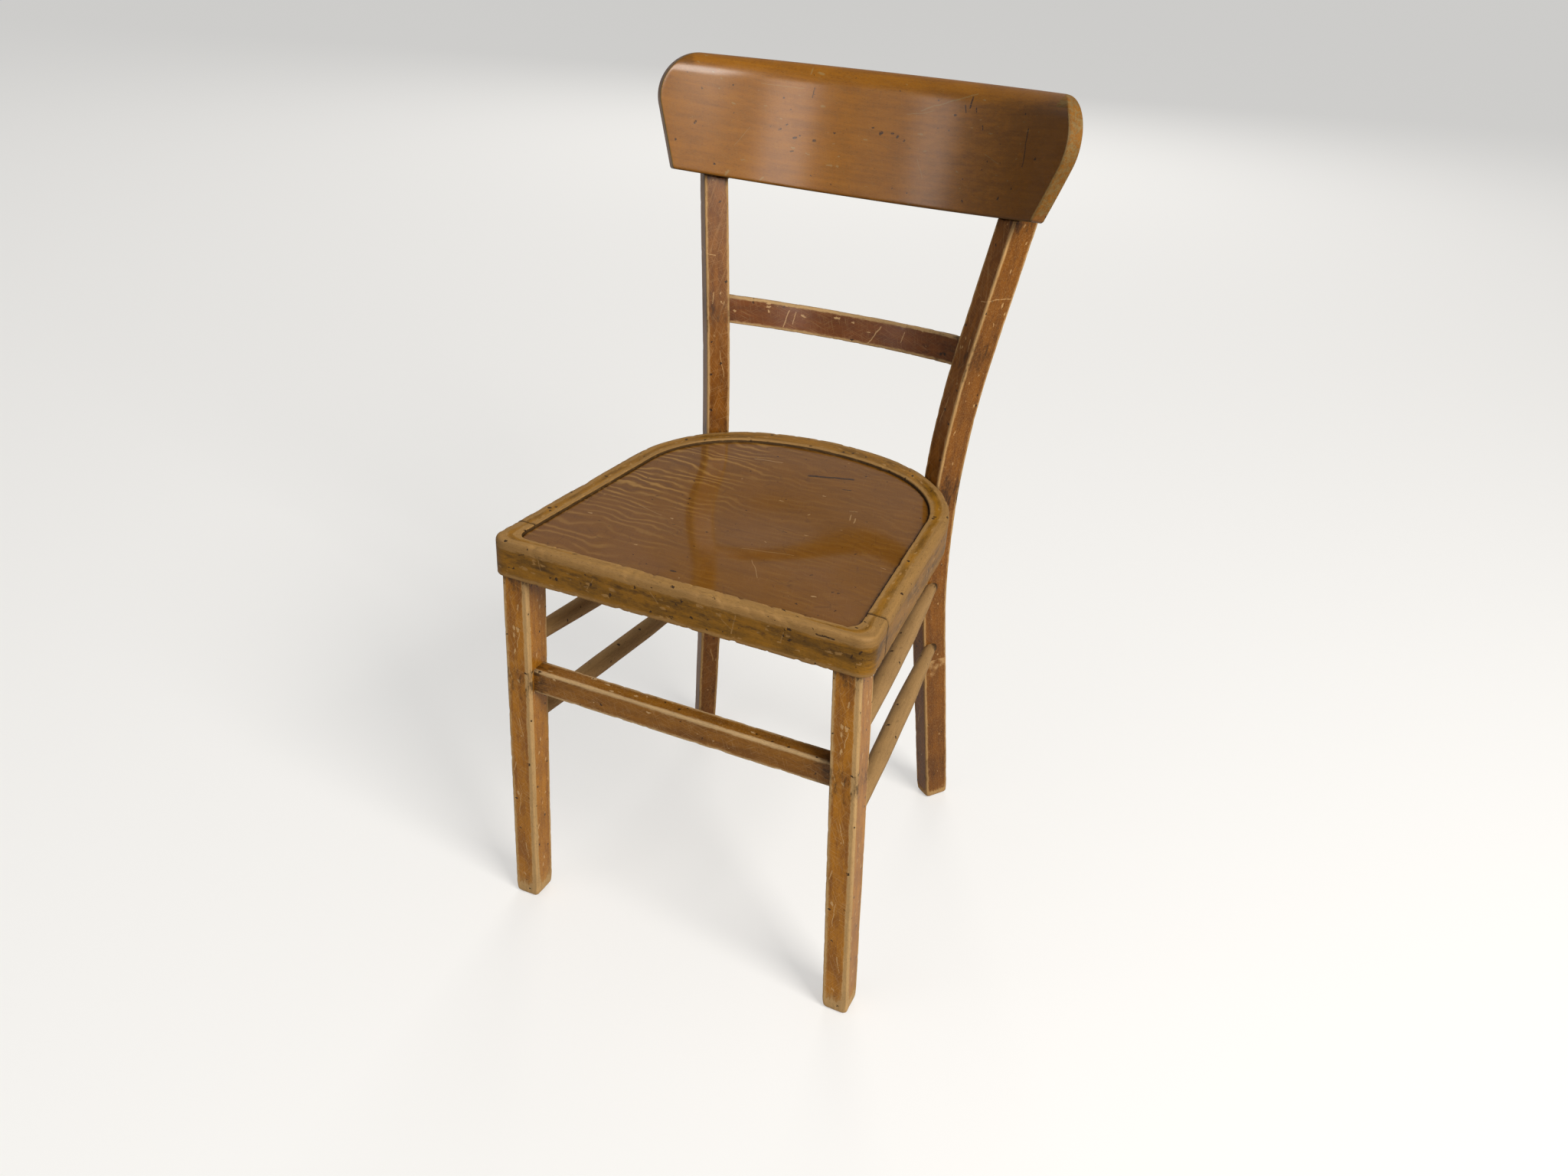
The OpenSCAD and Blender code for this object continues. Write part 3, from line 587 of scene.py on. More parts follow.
def wood(name, colours, light, deep, seed, bare=None, width=0.0016, ragged=1.0, thin_tone=0.5,
         streaks=0.45, flecks=0.5, patches=0.4, stain=0.6, gloss=0.36, coat=0.3, coat_rough=0.2,
         sheen=0.22, scratches=0.3, specks=(170.0, 0.34, 0.10), chips=(230.0, 0.36, 0.14),
         figure=None, dark_marks=(), light_marks=()):
    """Varnished beech: grain, worn arrises, dirt and painted shade, scratches, specks, chips and
    single marks.

    Specks and chips are given as (cells per metre, size in a cell, share of cells that have one).
    """
    mat = bpy.data.materials.new(name)
    mat.use_nodes = True
    tree = mat.node_tree
    tree.nodes.clear()
    w = Wiring(tree)
    lay = w.attribute("lay", "Vector")
    bare = bare or colours.bare_wood
    grain = w.group("Beech grain", {"Lay": lay, "Seed": seed, "Light": colour4(light),
                                    "Deep": colour4(deep), "Streaks": streaks,
                                    "Flecks": flecks, "Patches": patches})
    worn = w.group("Arris wear", {"Lay": lay, "Seed": seed + 0.7, "Arris": w.attribute("arris"),
                                  "Wear": w.attribute("wear"), "Width": width, "Ragged": ragged})
    pale = w.group("Beech grain", {"Lay": lay, "Seed": seed + 1.9, "Light": colour4(bare),
                                   "Deep": colour4([c * 0.55 for c in bare]),
                                   "Streaks": 0.35, "Flecks": 0.7, "Patches": 0.2})
    fine = w.group("Fine scratches", {"Lay": lay, "Seed": seed + 3.1, "Amount": scratches})
    dots = w.group("Specks", {"Lay": lay, "Seed": seed + 5.3, "Per metre": specks[0],
                              "Size": specks[1], "Share": specks[2]})
    dirt_and_shade = w.group("Old dirt", {"Lay": lay, "Seed": seed + 7.7, "Dirt_and_shade": w.attribute("dirt_and_shade"),
                                "Patches": stain})
    colour = grain["Colour"]
    if figure:
        colour = figure(w, lay, colour)
    colour = w.blend(w.times(worn["Thin"], thin_tone), colour, pale["Colour"])
    colour = w.blend(w.times(worn["Bare"], 0.9), colour, pale["Colour"])
    colour = w.blend(w.times(fine["Scratch"], 0.5), colour, colour4(bare))
    rubs = w.group("Specks", {"Lay": w.scaled(lay, (0.45, 1, 1)), "Seed": seed + 9.1,
                              "Per metre": chips[0], "Size": chips[1],
                              "Share": chips[2]})["Speck"]
    colour = w.blend(w.times(rubs, 0.75), colour, colour4(bare))
    lines = scored(w, lay, None, light_marks)
    if lines is not None:
        colour = w.blend(w.times(lines, 0.75), colour, colour4(bare))
    cuts = scored(w, lay, dots["Speck"], dark_marks)
    # Dirt, and the crest rail's painted shade, darken the colour towards the grime colour
    colour = w.blend(dirt_and_shade["Dark"], colour, colour4(colours.grime_and_shade))
    colour = w.blend(w.times(cuts, 0.93), colour, colour4(colours.grime_and_shade))
    dull = w.plus(worn["Thin"], w.times(w.plus(fine["Scratch"], dirt_and_shade["Dark"]), 0.5))
    rough = w.ramp(dull, 0.0, 1.2, gloss, 0.65)
    coated = w.times(w.minus(1.0, dull, clamp=True), coat)
    height = w.minus(w.times(grain["Height"], 0.5), w.times(worn["Bare"], 0.7))
    cut_depth = w.plus(cuts, w.times(fine["Scratch"], 0.3))
    bumped = w.put("ShaderNodeBump", {"Height": w.minus(height, cut_depth),
                                      "Strength": 0.3, "Distance": 0.0004}).outputs[0]
    shader = w.put("ShaderNodeBsdfPrincipled", {"Base Color": colour, "Roughness": rough,
                                                "Coat Weight": coated, "Coat Roughness": coat_rough,
                                                "Normal": bumped, "Specular IOR Level": sheen})
    w.put("ShaderNodeOutputMaterial", {"Surface": shader.outputs[0]})


def rotary_figure(w, lay, colour):
    """Wavy figure of rotary-cut veneer, strongest at the back left, with a plum cast in front."""
    colours = bpy.context.scene.chair_colours
    x, y, _ = w.put("ShaderNodeSeparateXYZ", {0: lay}).outputs
    swell = w.noise(w.scaled(lay, (9, 16, 5)), 1.0, 2.0, 0.5, 0.4)
    ripple = w.noise(w.scaled(lay, (42, 30, 10)), 1.0, 2.0, 0.5)
    phase = w.plus(w.times(y, 520.0), w.times(swell, 34.0))
    bands = w.math("SINE", w.plus(phase, w.times(ripple, 7.0)))
    rings = w.ramp(bands, 0.2, 1.0)
    left = w.ramp(w.minus(x, w.times(y, 0.15)), -0.03, -0.17)
    broken = w.ramp(w.noise(w.scaled(lay, (18, 34, 7)), 1.0, 2.0, 0.5), 0.36, 0.6, 0.1, 1.0)
    where = w.times(broken, w.plus(w.times(left, 0.52), 0.07))
    colour = w.blend(w.times(rings, where), colour, colour4(shade(186, 140, 66)))
    lows = w.ramp(bands, -0.4, -1.0)
    colour = w.blend(w.times(lows, w.times(where, 0.8)), colour, colour4(shade(84, 50, 14)))
    cloud = w.ramp(w.noise(w.scaled(lay, (11, 8, 8)), 1.0, 3.0, 0.55, 0.5), 0.4, 0.64)
    front = w.ramp(y, 0.22, 0.03, 0.3, 1.0)
    colour = w.blend(w.times(w.times(cloud, front), 0.6), colour, colour4(colours.seat_plum))
    crackle = w.put("ShaderNodeTexVoronoi", {"Vector": w.scaled(lay, (60, 110, 60)), "Scale": 1.0},
                    feature="DISTANCE_TO_EDGE").outputs["Distance"]
    faded = w.ramp(w.noise(lay, 26.0, 2.0, 0.5), 0.46, 0.62)
    lines = w.times(w.ramp(crackle, 0.035, 0.01), faded)
    return w.blend(w.times(lines, 0.35), colour, colour4(shade(72, 42, 14)))


def marks(*rows):
    """Marks as (start, run, width), from rows of two places, two runs and a width, in metres."""
    return [((a, b, 0), (run_a, run_b, 0), wide) for a, b, run_a, run_b, wide in rows]


# Damage that can be picked out one by one. The two directions are along the stock and across it for
# the legs, posts, frame and slat, across and up the face for the crest rail, and to the right and
# back from the front edge for the seat.
CREST_GOUGES = marks(
    (-0.105, 0.058, 0.0015, 0.001, 0.0009), (-0.098, 0.064, 0.001, 0.0005, 0.0010),
    (-0.088, 0.052, 0.002, 0.0005, 0.0011), (-0.083, 0.055, 0.001, 0, 0.0008),
    (-0.067, 0.052, 0.0015, 0, 0.0014), (-0.090, 0.038, 0.003, 0.001, 0.0006),
    (-0.006, 0.073, 0.002, 0.0005, 0.0008), (0.004, 0.068, 0.0015, 0.001, 0.0017),
    (0.016, 0.070, 0.002, 0, 0.0010), (0.023, 0.067, 0.001, 0.001, 0.0014),
    (0.031, 0.064, 0.001, 0.001, 0.0009), (0.096, 0.104, 0.002, -0.006, 0.0009),
    (0.103, 0.112, -0.001, -0.010, 0.0011), (0.110, 0.102, 0.001, -0.003, 0.0008),
    (0.085, 0.094, 0.0015, 0, 0.0012), (0.122, 0.086, 0.001, -0.004, 0.0007),
    (-0.195, 0.050, 0.001, 0.002, 0.0009), (0.185, 0.085, 0.002, -0.035, 0.0008),
    (0.160, 0.018, 0.001, 0.002, 0.0010), (-0.074, 0.104, -0.001, -0.010, 0.0005))
CREST_SCRATCHES = marks(
    (0.045, 0.096, 0.062, 0.020, 0.0006), (0.030, 0.090, 0.030, 0.006, 0.0004),
    (-0.080, 0.117, 0.001, 0.007, 0.0006), (-0.072, 0.120, 0.005, -0.001, 0.0014),
    (-0.130, 0.100, 0.045, 0.002, 0.0003), (-0.155, 0.004, 0.002, 0.004, 0.0013),
    (-0.118, 0.004, 0.003, 0.003, 0.0009), (0.060, 0.030, -0.010, 0.018, 0.0003),
    (-0.150, 0.035, 0.014, 0.020, 0.0003), (0.130, 0.060, 0.022, -0.008, 0.0003))
SEAT_GOUGES = marks(
    (-0.014, 0.033, 0.003, 0, 0.0016), (0.010, 0.300, 0.045, 0.014, 0.0022),
    (0.055, 0.285, 0.008, 0.002, 0.0009), (0.120, 0.150, 0.001, 0.002, 0.0010),
    (0.100, 0.090, 0.001, 0.001, 0.0009), (0.135, 0.070, 0.001, 0.001, 0.0008),
    (-0.060, 0.120, 0.002, 0.001, 0.0007), (0.030, 0.170, 0.012, -0.003, 0.0004))
SEAT_SCRATCHES = marks(
    (-0.060, 0.310, 0.030, 0.006, 0.0008), (0.085, 0.232, 0.003, -0.012, 0.0006),
    (0.092, 0.226, 0.002, -0.010, 0.0007), (0.080, 0.240, 0.008, 0.002, 0.0005),
    (0.045, 0.215, 0.0005, 0.0015, 0.0009), (-0.110, 0.140, 0.030, -0.008, 0.0003),
    (0.020, 0.110, 0.050, 0.010, 0.0003), (0.060, 0.060, -0.020, 0.030, 0.0003))
FRAME_GOUGES = marks(
    (0.372, 0.034, 0.016, -0.001, 0.0009), (0.405, 0.020, 0.001, 0.003, 0.0008),
    (0.412, 0.026, 0.0015, 0.002, 0.0009), (0.070, 0.030, 0.006, 0.002, 0.0005))
FRAME_SCRATCHES = marks(
    (0.292, 0.010, 0.003, 0.020, 0.0007), (0.282, 0.022, 0.010, -0.008, 0.0005),
    (0.150, 0.026, -0.006, -0.012, 0.0005), (0.210, 0.030, 0.008, -0.010, 0.0006),
    (0.090, 0.033, 0.004, -0.014, 0.0007), (0.340, 0.016, 0.002, 0.010, 0.0005))
LEG_SCRATCHES = marks(
    (0.120, -0.004, 0.030, 0.003, 0.0004), (0.230, 0.005, 0.022, -0.005, 0.0005),
    (0.180, -0.008, 0.012, 0.002, 0.0006), (0.340, 0.002, 0.018, 0.003, 0.0004),
    (0.060, 0.006, 0.020, -0.004, 0.0005), (0.300, -0.006, 0.010, -0.003, 0.0006),
    (0.385, 0.004, 0.006, 0.001, 0.0008))
POST_SCRATCHES = marks(
    (0.190, 0.012, 0.030, 0.001, 0.0010), (0.650, 0.004, 0.004, 0.012, 0.0005),
    (0.520, -0.004, 0.030, 0.004, 0.0004), (0.350, 0.006, 0.020, -0.004, 0.0005),
    (0.600, 0.008, 0.012, -0.002, 0.0005), (0.120, -0.003, 0.020, 0.004, 0.0005))
SLAT_SCRATCHES = marks(
    (-0.080, 0.006, 0.004, 0.018, 0.0006), (-0.070, 0.010, 0.002, 0.014, 0.0005),
    (0.020, 0.004, 0.012, 0.020, 0.0006), (0.060, 0.012, 0.003, 0.012, 0.0005))


# ---- Operators ----

FLOOR_HALF = 60.0
FLOOR_LIT, FLOOR_SEEN = (0.40, 0.36, 0.32, 1), (0.50, 0.49, 0.475, 1)
FLOOR_GLOW, FLOOR_GLOW_STRENGTH = (0.74, 0.73, 0.71, 1), 0.60
GLOSSY_SHARE = 0.2
# The surroundings as they light the object, as it mirrors them, and as they are seen
ROOM_LIT, ROOM_GLOSS, ROOM_SHOWN = (
    {"Color": (0.96, 0.98, 1.0, 1), "Strength": 0.34},
    {"Color": (0.93, 0.94, 0.95, 1), "Strength": 0.25},
    {"Color": (0.65, 0.64, 0.62, 1), "Strength": 1.0})
# Name, place, aim, size, power in watts, tint, and whether it lights matt and glossy surfaces
LAMPS = (
    ("window light", (2.5, -1.3, 2.5), (0, 0, 0.45), (1.5, 1.5), 118.0, (1.0, 0.98, 0.94), True,
     True),
    ("room fill", (-1.6, -2.6, 2.0), (0, 0, 0.4), (2.4, 2.0), 12.0, (0.97, 0.98, 1.0), True, True),
    ("back fill", (-1.6, 5.2, 3.2), (0, 0, 0.45), (3.0, 2.4), 92.0, (1.0, 0.98, 0.95), True, False),
    ("tall window", (0.66, -2.06, 1.56), (-0.09, 0.19, 0.78), (0.75, 1.1), 16.0, (1.0, 0.97, 0.95),
     False, True),
    ("far window", (-1.64, -1.5, 1.42), (0.06, 0.20, 0.78), (0.70, 1.0), 7.0, (0.97, 0.98, 1.0),
     False, True))
CAMERA_YAW, CAMERA_PITCH, CAMERA_ROLL = (math.radians(a) for a in (22.23, 29.44, 3.58))
CAMERA_PLACE = (0.45406, FRONT_Y - 0.84429, 1.00332)
CAMERA_LENS, CAMERA_SENSOR = 28.39, 36.0


def lay_floor(scene):
    mesh = bpy.data.meshes.new("floor")
    corners = box_corners(-FLOOR_HALF, FLOOR_HALF, -FLOOR_HALF, FLOOR_HALF)
    mesh.from_pydata([(x, y, 0) for x, y in corners], [], [(0, 1, 2, 3)])
    floor = bpy.data.objects.new("floor", mesh)
    scene.collection.objects.link(floor)
    mat = bpy.data.materials.new("pale floor")
    mat.use_nodes = True
    mat.node_tree.nodes.clear()
    w = Wiring(mat.node_tree)
    path = w.put("ShaderNodeLightPath").outputs
    mirrored = w.times(path["Is Glossy Ray"], GLOSSY_SHARE)
    seen = w.math("MAXIMUM", path["Is Camera Ray"], mirrored)
    paint = w.blend(seen, FLOOR_LIT, FLOOR_SEEN)
    matt = w.put("ShaderNodeBsdfDiffuse", {"Color": paint}).outputs[0]
    strength = w.times(seen, FLOOR_GLOW_STRENGTH)
    glow = w.put("ShaderNodeEmission", {"Color": FLOOR_GLOW, "Strength": strength}).outputs[0]
    both = w.put("ShaderNodeAddShader", {0: matt, 1: glow}).outputs[0]
    w.put("ShaderNodeOutputMaterial", {"Surface": both})
    mesh.materials.append(mat)


def set_surroundings(scene):
    world = bpy.data.worlds.new("pale room")
    scene.world = world
    world.use_nodes = True
    world.node_tree.nodes.clear()
    w = Wiring(world.node_tree)
    path = w.put("ShaderNodeLightPath").outputs
    seen = w.math("MAXIMUM", path["Is Camera Ray"], path["Is Transmission Ray"])
    lit, gloss, shown = (w.put("ShaderNodeBackground", tone).outputs[0]
                         for tone in (ROOM_LIT, ROOM_GLOSS, ROOM_SHOWN))
    room = w.put("ShaderNodeMixShader", {0: path["Is Glossy Ray"], 1: lit, 2: gloss}).outputs[0]
    both = w.put("ShaderNodeMixShader", {0: seen, 1: room, 2: shown}).outputs[0]
    w.put("ShaderNodeOutputWorld", {"Surface": both})


def hang_lamps(scene):
    for name, place, aim, size, power, tint, on_matt, on_glossy in LAMPS:
        data = bpy.data.lights.new(name, "AREA")
        data.shape = "RECTANGLE"
        data.size, data.size_y = size
        data.energy = power
        data.color = tint
        item = bpy.data.objects.new(name, data)
        item.location = place
        item.rotation_euler = (Vector(aim) - Vector(place)).to_track_quat("-Z", "Y").to_euler()
        item.visible_diffuse = on_matt
        item.visible_glossy = on_glossy
        scene.collection.objects.link(item)


def set_camera(scene):
    yaw, pitch, roll = CAMERA_YAW, CAMERA_PITCH, CAMERA_ROLL
    level = Vector((math.cos(yaw), math.sin(yaw), 0))
    forward = Vector((-math.sin(yaw) * math.cos(pitch), math.cos(yaw) * math.cos(pitch),
                      -math.sin(pitch)))
    upright = level.cross(forward)
    right = level * math.cos(roll) + upright * math.sin(roll)
    up = upright * math.cos(roll) - level * math.sin(roll)
    data = bpy.data.cameras.new("camera")
    data.lens = CAMERA_LENS
    data.sensor_width = CAMERA_SENSOR
    camera = bpy.data.objects.new("camera", data)
    turned = Matrix((right, up, -forward)).transposed()
    camera.matrix_world = Matrix.Translation(CAMERA_PLACE) @ turned.to_4x4()
    scene.collection.objects.link(camera)
    scene.camera = camera


class CHAIR_OT_stage(bpy.types.Operator):
    """Set up the floor, the soft lights, the pale surroundings and the camera"""
    bl_idname = "chair.stage"
    bl_label = "Stage"

    def execute(self, context):
        scene = context.scene
        scene.view_settings.view_transform = "Standard"
        lay_floor(scene)
        set_surroundings(scene)
        hang_lamps(scene)
        set_camera(scene)
        return {"FINISHED"}


class CHAIR_OT_seat_frame(bpy.types.Operator):
    """Build the front rail and the bent hoop that carry the seat panel"""
    bl_idname = "chair.seat_frame"
    bl_label = "Front rail and seat hoop"

    def execute(self, context):
        sizes = context.scene.chair_sizes
        outline, seam_left, seam_right = full_outline(seat_plans(sizes)[0])
        count = len(outline)
        frame_z = sizes.seat_height - FRAME_H
        for name, start, stop, seed in (("front_rail", seam_left, seam_right, 2.0),
                                        ("seat_hoop", seam_right, seam_left + count, 9.0)):
            points, lay, arris, centres, around = frame_run(sizes, start, stop)
            rings = len(points) // around
            deepest = 0.0022 if name == "front_rail" else 0.0012
            push = knock(points, lay, arris, seed, deepest, 0.009)
            push += np.array([0.00035 * (0.5 + wavy(seed, l[0], 0.03)) for l in lay])
            points = pushed(points, centres, push)
            ring = np.arange(len(points)) // around
            if name == "seat_hoop":
                # Both seams stand a little open
                points[:, 1] += np.where(ring == 0, 0.00025, 0.0)
                points[:, 1] += np.where(ring == rings - 1, 0.0008, 0.0)
            top = np.clip((lay[:, 1] - 0.034) / 0.006, 0, 1)
            face = np.clip((lay[:, 1] - 0.023) / 0.016, 0, 1) * np.clip(1 - lay[:, 2] / 0.004, 0, 1)
            foot_edge = np.clip(1 - lay[:, 1] / 0.005, 0, 1)
            if name == "front_rail":
                wear = np.maximum(0.40 * top, 0.62 * face ** 1.2) + 0.26 * foot_edge
                wear *= np.array([0.95 + 0.6 * wavy(5.0, l[0], 0.045) for l in lay])
                dirt_and_shade = 0.34 * np.exp(-((lay[:, 1] - 0.021) / 0.010) ** 2) * (lay[:, 2] < 0.004)
                dirt_and_shade += 0.14 * (1 - top)
            else:
                wear = np.maximum(0.14 * top, 0.36 * face ** 1.5) + 0.12 * foot_edge
                dirt_and_shade = 0.12 * (1 - top)
            groove = (lay[:, 2] > 0.010) & (lay[:, 1] < FRAME_H - 0.0012) & (lay[:, 1] > 0.030)
            dirt_and_shade = np.where(groove, 0.95, dirt_and_shade)
            dirt_and_shade = np.where((ring == 0) | (ring == rings - 1), 0.8, dirt_and_shade)
            points = seat_level(points, frame_z)
            make_piece(name + "_wood", points, flip(loft_faces(rings, around)), lay, arris,
                       wear, dirt_and_shade, "frame varnish", [name])
        return {"FINISHED"}


class CHAIR_OT_seat_panel(bpy.types.Operator):
    """Build the pressed plywood seat panel with its smooth dish"""
    bl_idname = "chair.seat_panel"
    bl_label = "Seat panel"

    def execute(self, context):
        sizes = context.scene.chair_sizes
        plan = inset(seat_plans(sizes)[1], PANEL_GAP)
        outline = full_outline(plan)[0]
        frame_z = sizes.seat_height - FRAME_H
        rim_z = sizes.seat_height - PANEL_DROP
        middle = Vector((0, (plan["front"] + plan["rear"]) / 2))
        shares = [1 - 0.0012, 1 - 0.004, 1 - 0.009] + [1 - 0.02 * k for k in range(1, 50)]
        under = [(s, PANEL_THICK) for s in reversed(shares)]
        edge_steps = [(1.0, PANEL_THICK), (1.0, 0.0007)]
        upper = [(s, 0.0002 if s > 0.998 else 0.0) for s in shares]
        around = len(outline)
        points, lay, arris = [], [], []

        def drop(p):
            away = (p - middle).length / DISH_REACH
            return sizes.dish_depth * (1 + math.cos(math.pi * min(away, 1.0))) / 2

        for share, below in under + edge_steps + upper:
            for p in outline:
                at = middle.lerp(p, share)
                level = rim_z - below - drop(at)
                points.append((at.x, at.y, level))
                lay.append((at.x, at.y, -below))
                arris.append((p - at).length)
        faces = loft_faces(len(points) // around, around)
        points = seat_level(np.array(points), frame_z)
        edge = np.array(arris)
        dirt_and_shade = 0.75 * np.clip(1 - edge / 0.0022, 0, 1) + 0.25 * np.clip(1 - edge / 0.012, 0, 1)
        dirt_and_shade += 0.10
        make_piece("seat_panel_wood", points, flip(faces), lay, arris, np.zeros(len(points)), dirt_and_shade,
                   "seat veneer", ["seat_panel"])
        return {"FINISHED"}


def leg_lines(sizes, z):
    """Places of a front leg's outer side, front and rear at a height."""
    share = 1 - z / LEG_JOINT_Z
    outer = sizes.seat_width / 2 - LEG_SIDE_SET + LEG_SPLAY * share
    front = LEG_FRONT_SET + LEG_LEAN * share
    return outer, front, front + LEG_FOOT_DEPTH + LEG_DEEPENS * (1 - share)


def fading(value, reach):
    """1 where a value is nought, down to 0 where it comes to its reach."""
    return max(0.0, 1 - value / reach)


def hump(value, middle, reach):
    """1 where a value is at the middle, fading smoothly to both sides."""
    return math.exp(-((value - middle) / reach) ** 2)


class CHAIR_OT_front_legs(bpy.types.Operator):
    """Build the two tapered front legs with their worn feet"""
    bl_idname = "chair.front_legs"
    bl_label = "Front legs"

    def execute(self, context):
        sizes = context.scene.chair_sizes
        heights = [0.0, 0.0006, 0.0015, 0.003, 0.005, 0.008, 0.011, 0.015] + \
            list(np.linspace(0.019, LEG_JOINT_Z, 120))
        for side, name in ((-1, "front_leg_left"), (1, "front_leg_right")):
            rings, lays, arrises, wears, centres, dirts = [], [], [], [], [], []
            for z in heights:
                outer, front, rear = leg_lines(sizes, z)
                cut = 0.0026 * fading(z, 0.0045) ** 2
                xs = sorted((side * (outer - cut), side * (outer - sizes.leg_width + cut)))
                slack = fading(z, 0.014) * 0.0035
                section, arris = rounded_section(
                    box_corners(xs[0], xs[1], front + cut, rear - cut),
                    [ease + slack for ease in (0.0016, 0.0018, 0.0014, 0.0014)])
                middle = ((xs[0] + xs[1]) / 2, (front + rear) / 2)
                rings.append([(x, y + FRONT_Y, z) for x, y in section])
                lays.append([(z, x - middle[0], y - middle[1]) for x, y in section])
                arrises.append(np.minimum(arris, 0.0004 + z * 0.12))
                centres.append([(middle[0], middle[1] + FRONT_Y, z)] * len(section))
                rubbed = [0.95 * fading(math.hypot(x - xs[1], y - front), 0.008)
                          for x, y in section]
                wears.append([r + 0.75 * fading(z, 0.016) + 0.20 * fading(z, 0.20) for r in rubbed])
                near = hump(z, 0.2975, 0.020) * 0.4 + fading(LEG_JOINT_Z - z, 0.03) * 0.5
                dirts.append([0.10 + near + 0.06 * hump(z, 0.020, 0.008)] * len(section))
            shape, lay, centre = rows_of_three(rings, lays, centres)
            arris = np.array(arrises).ravel()
            push = knock(shape, lay, arris, 11.0 + side, 0.0007, 0.009)
            push += np.array([0.0003 * (0.5 + wavy(side, l[0], 0.05)) for l in lay])
            points = pushed(shape, centre, push)
            points[:, 2] = shape[:, 2]
            make_piece(name + "_wood", points, loft_faces(len(heights), len(rings[0])), lay, arris,
                       np.array(wears).ravel(), np.array(dirts).ravel(),
                       "leg varnish", [name])
        return {"FINISHED"}


def post_geometry(sizes):
    """Foot point and directions of the right back post, in plan, from the seat's corner bend."""
    across = Vector((math.cos(POST_TURN), -math.sin(POST_TURN)))
    back = Vector((math.sin(POST_TURN), math.cos(POST_TURN)))
    out = Vector((math.cos(POST_PLACE), math.sin(POST_PLACE)))
    foot = bend_centre(seat_plans(sizes)[0]) + out * sizes.corner_radius - back * POST_LET_IN
    return foot, across, back


def post_line(radius, z):
    """Distance behind the post's foremost line, at a height, of a line bent to a radius."""
    low = POST_BEND_Z - radius * math.sin(POST_KICK)
    high = POST_BEND_Z + radius * math.sin(POST_RAKE)
    if z < low:
        return POST_BEND_R - radius * math.cos(POST_KICK) + (low - z) * math.tan(POST_KICK)
    if z > high:
        return POST_BEND_R - radius * math.cos(POST_RAKE) + (z - high) * math.tan(POST_RAKE)
    return POST_BEND_R - math.sqrt(radius ** 2 - (z - POST_BEND_Z) ** 2)


def crest_place(sizes):
    """Where the crest rail's hollow face stands at its middle: y and z of its bottom edge."""
    foot, _, back = post_geometry(sizes)
    seat = foot + back * (post_line(POST_BEND_R, CREST_BOTTOM_Z) + CREST_LET_IN)
    turn = math.asin(seat.x / (sizes.crest_radius + sizes.crest_thickness))
    sag = sizes.crest_radius - (sizes.crest_radius + sizes.crest_thickness) * math.cos(turn)
    mid_z = CREST_BOTTOM_Z - sag * math.sin(BACK_LEAN)
    return seat.y + sag * math.cos(BACK_LEAN) + FRONT_Y, mid_z


def leaned(points, mid_y, mid_z):
    """Points (x, y behind the face's middle, height up the face), leaned back into place."""
    c, s = math.cos(BACK_LEAN), math.sin(BACK_LEAN)
    points = np.array(points, float)
    y, h = points[:, 1].copy(), points[:, 2].copy()
    points[:, 1] = mid_y + y * c + h * s
    points[:, 2] = mid_z - y * s + h * c
    return points


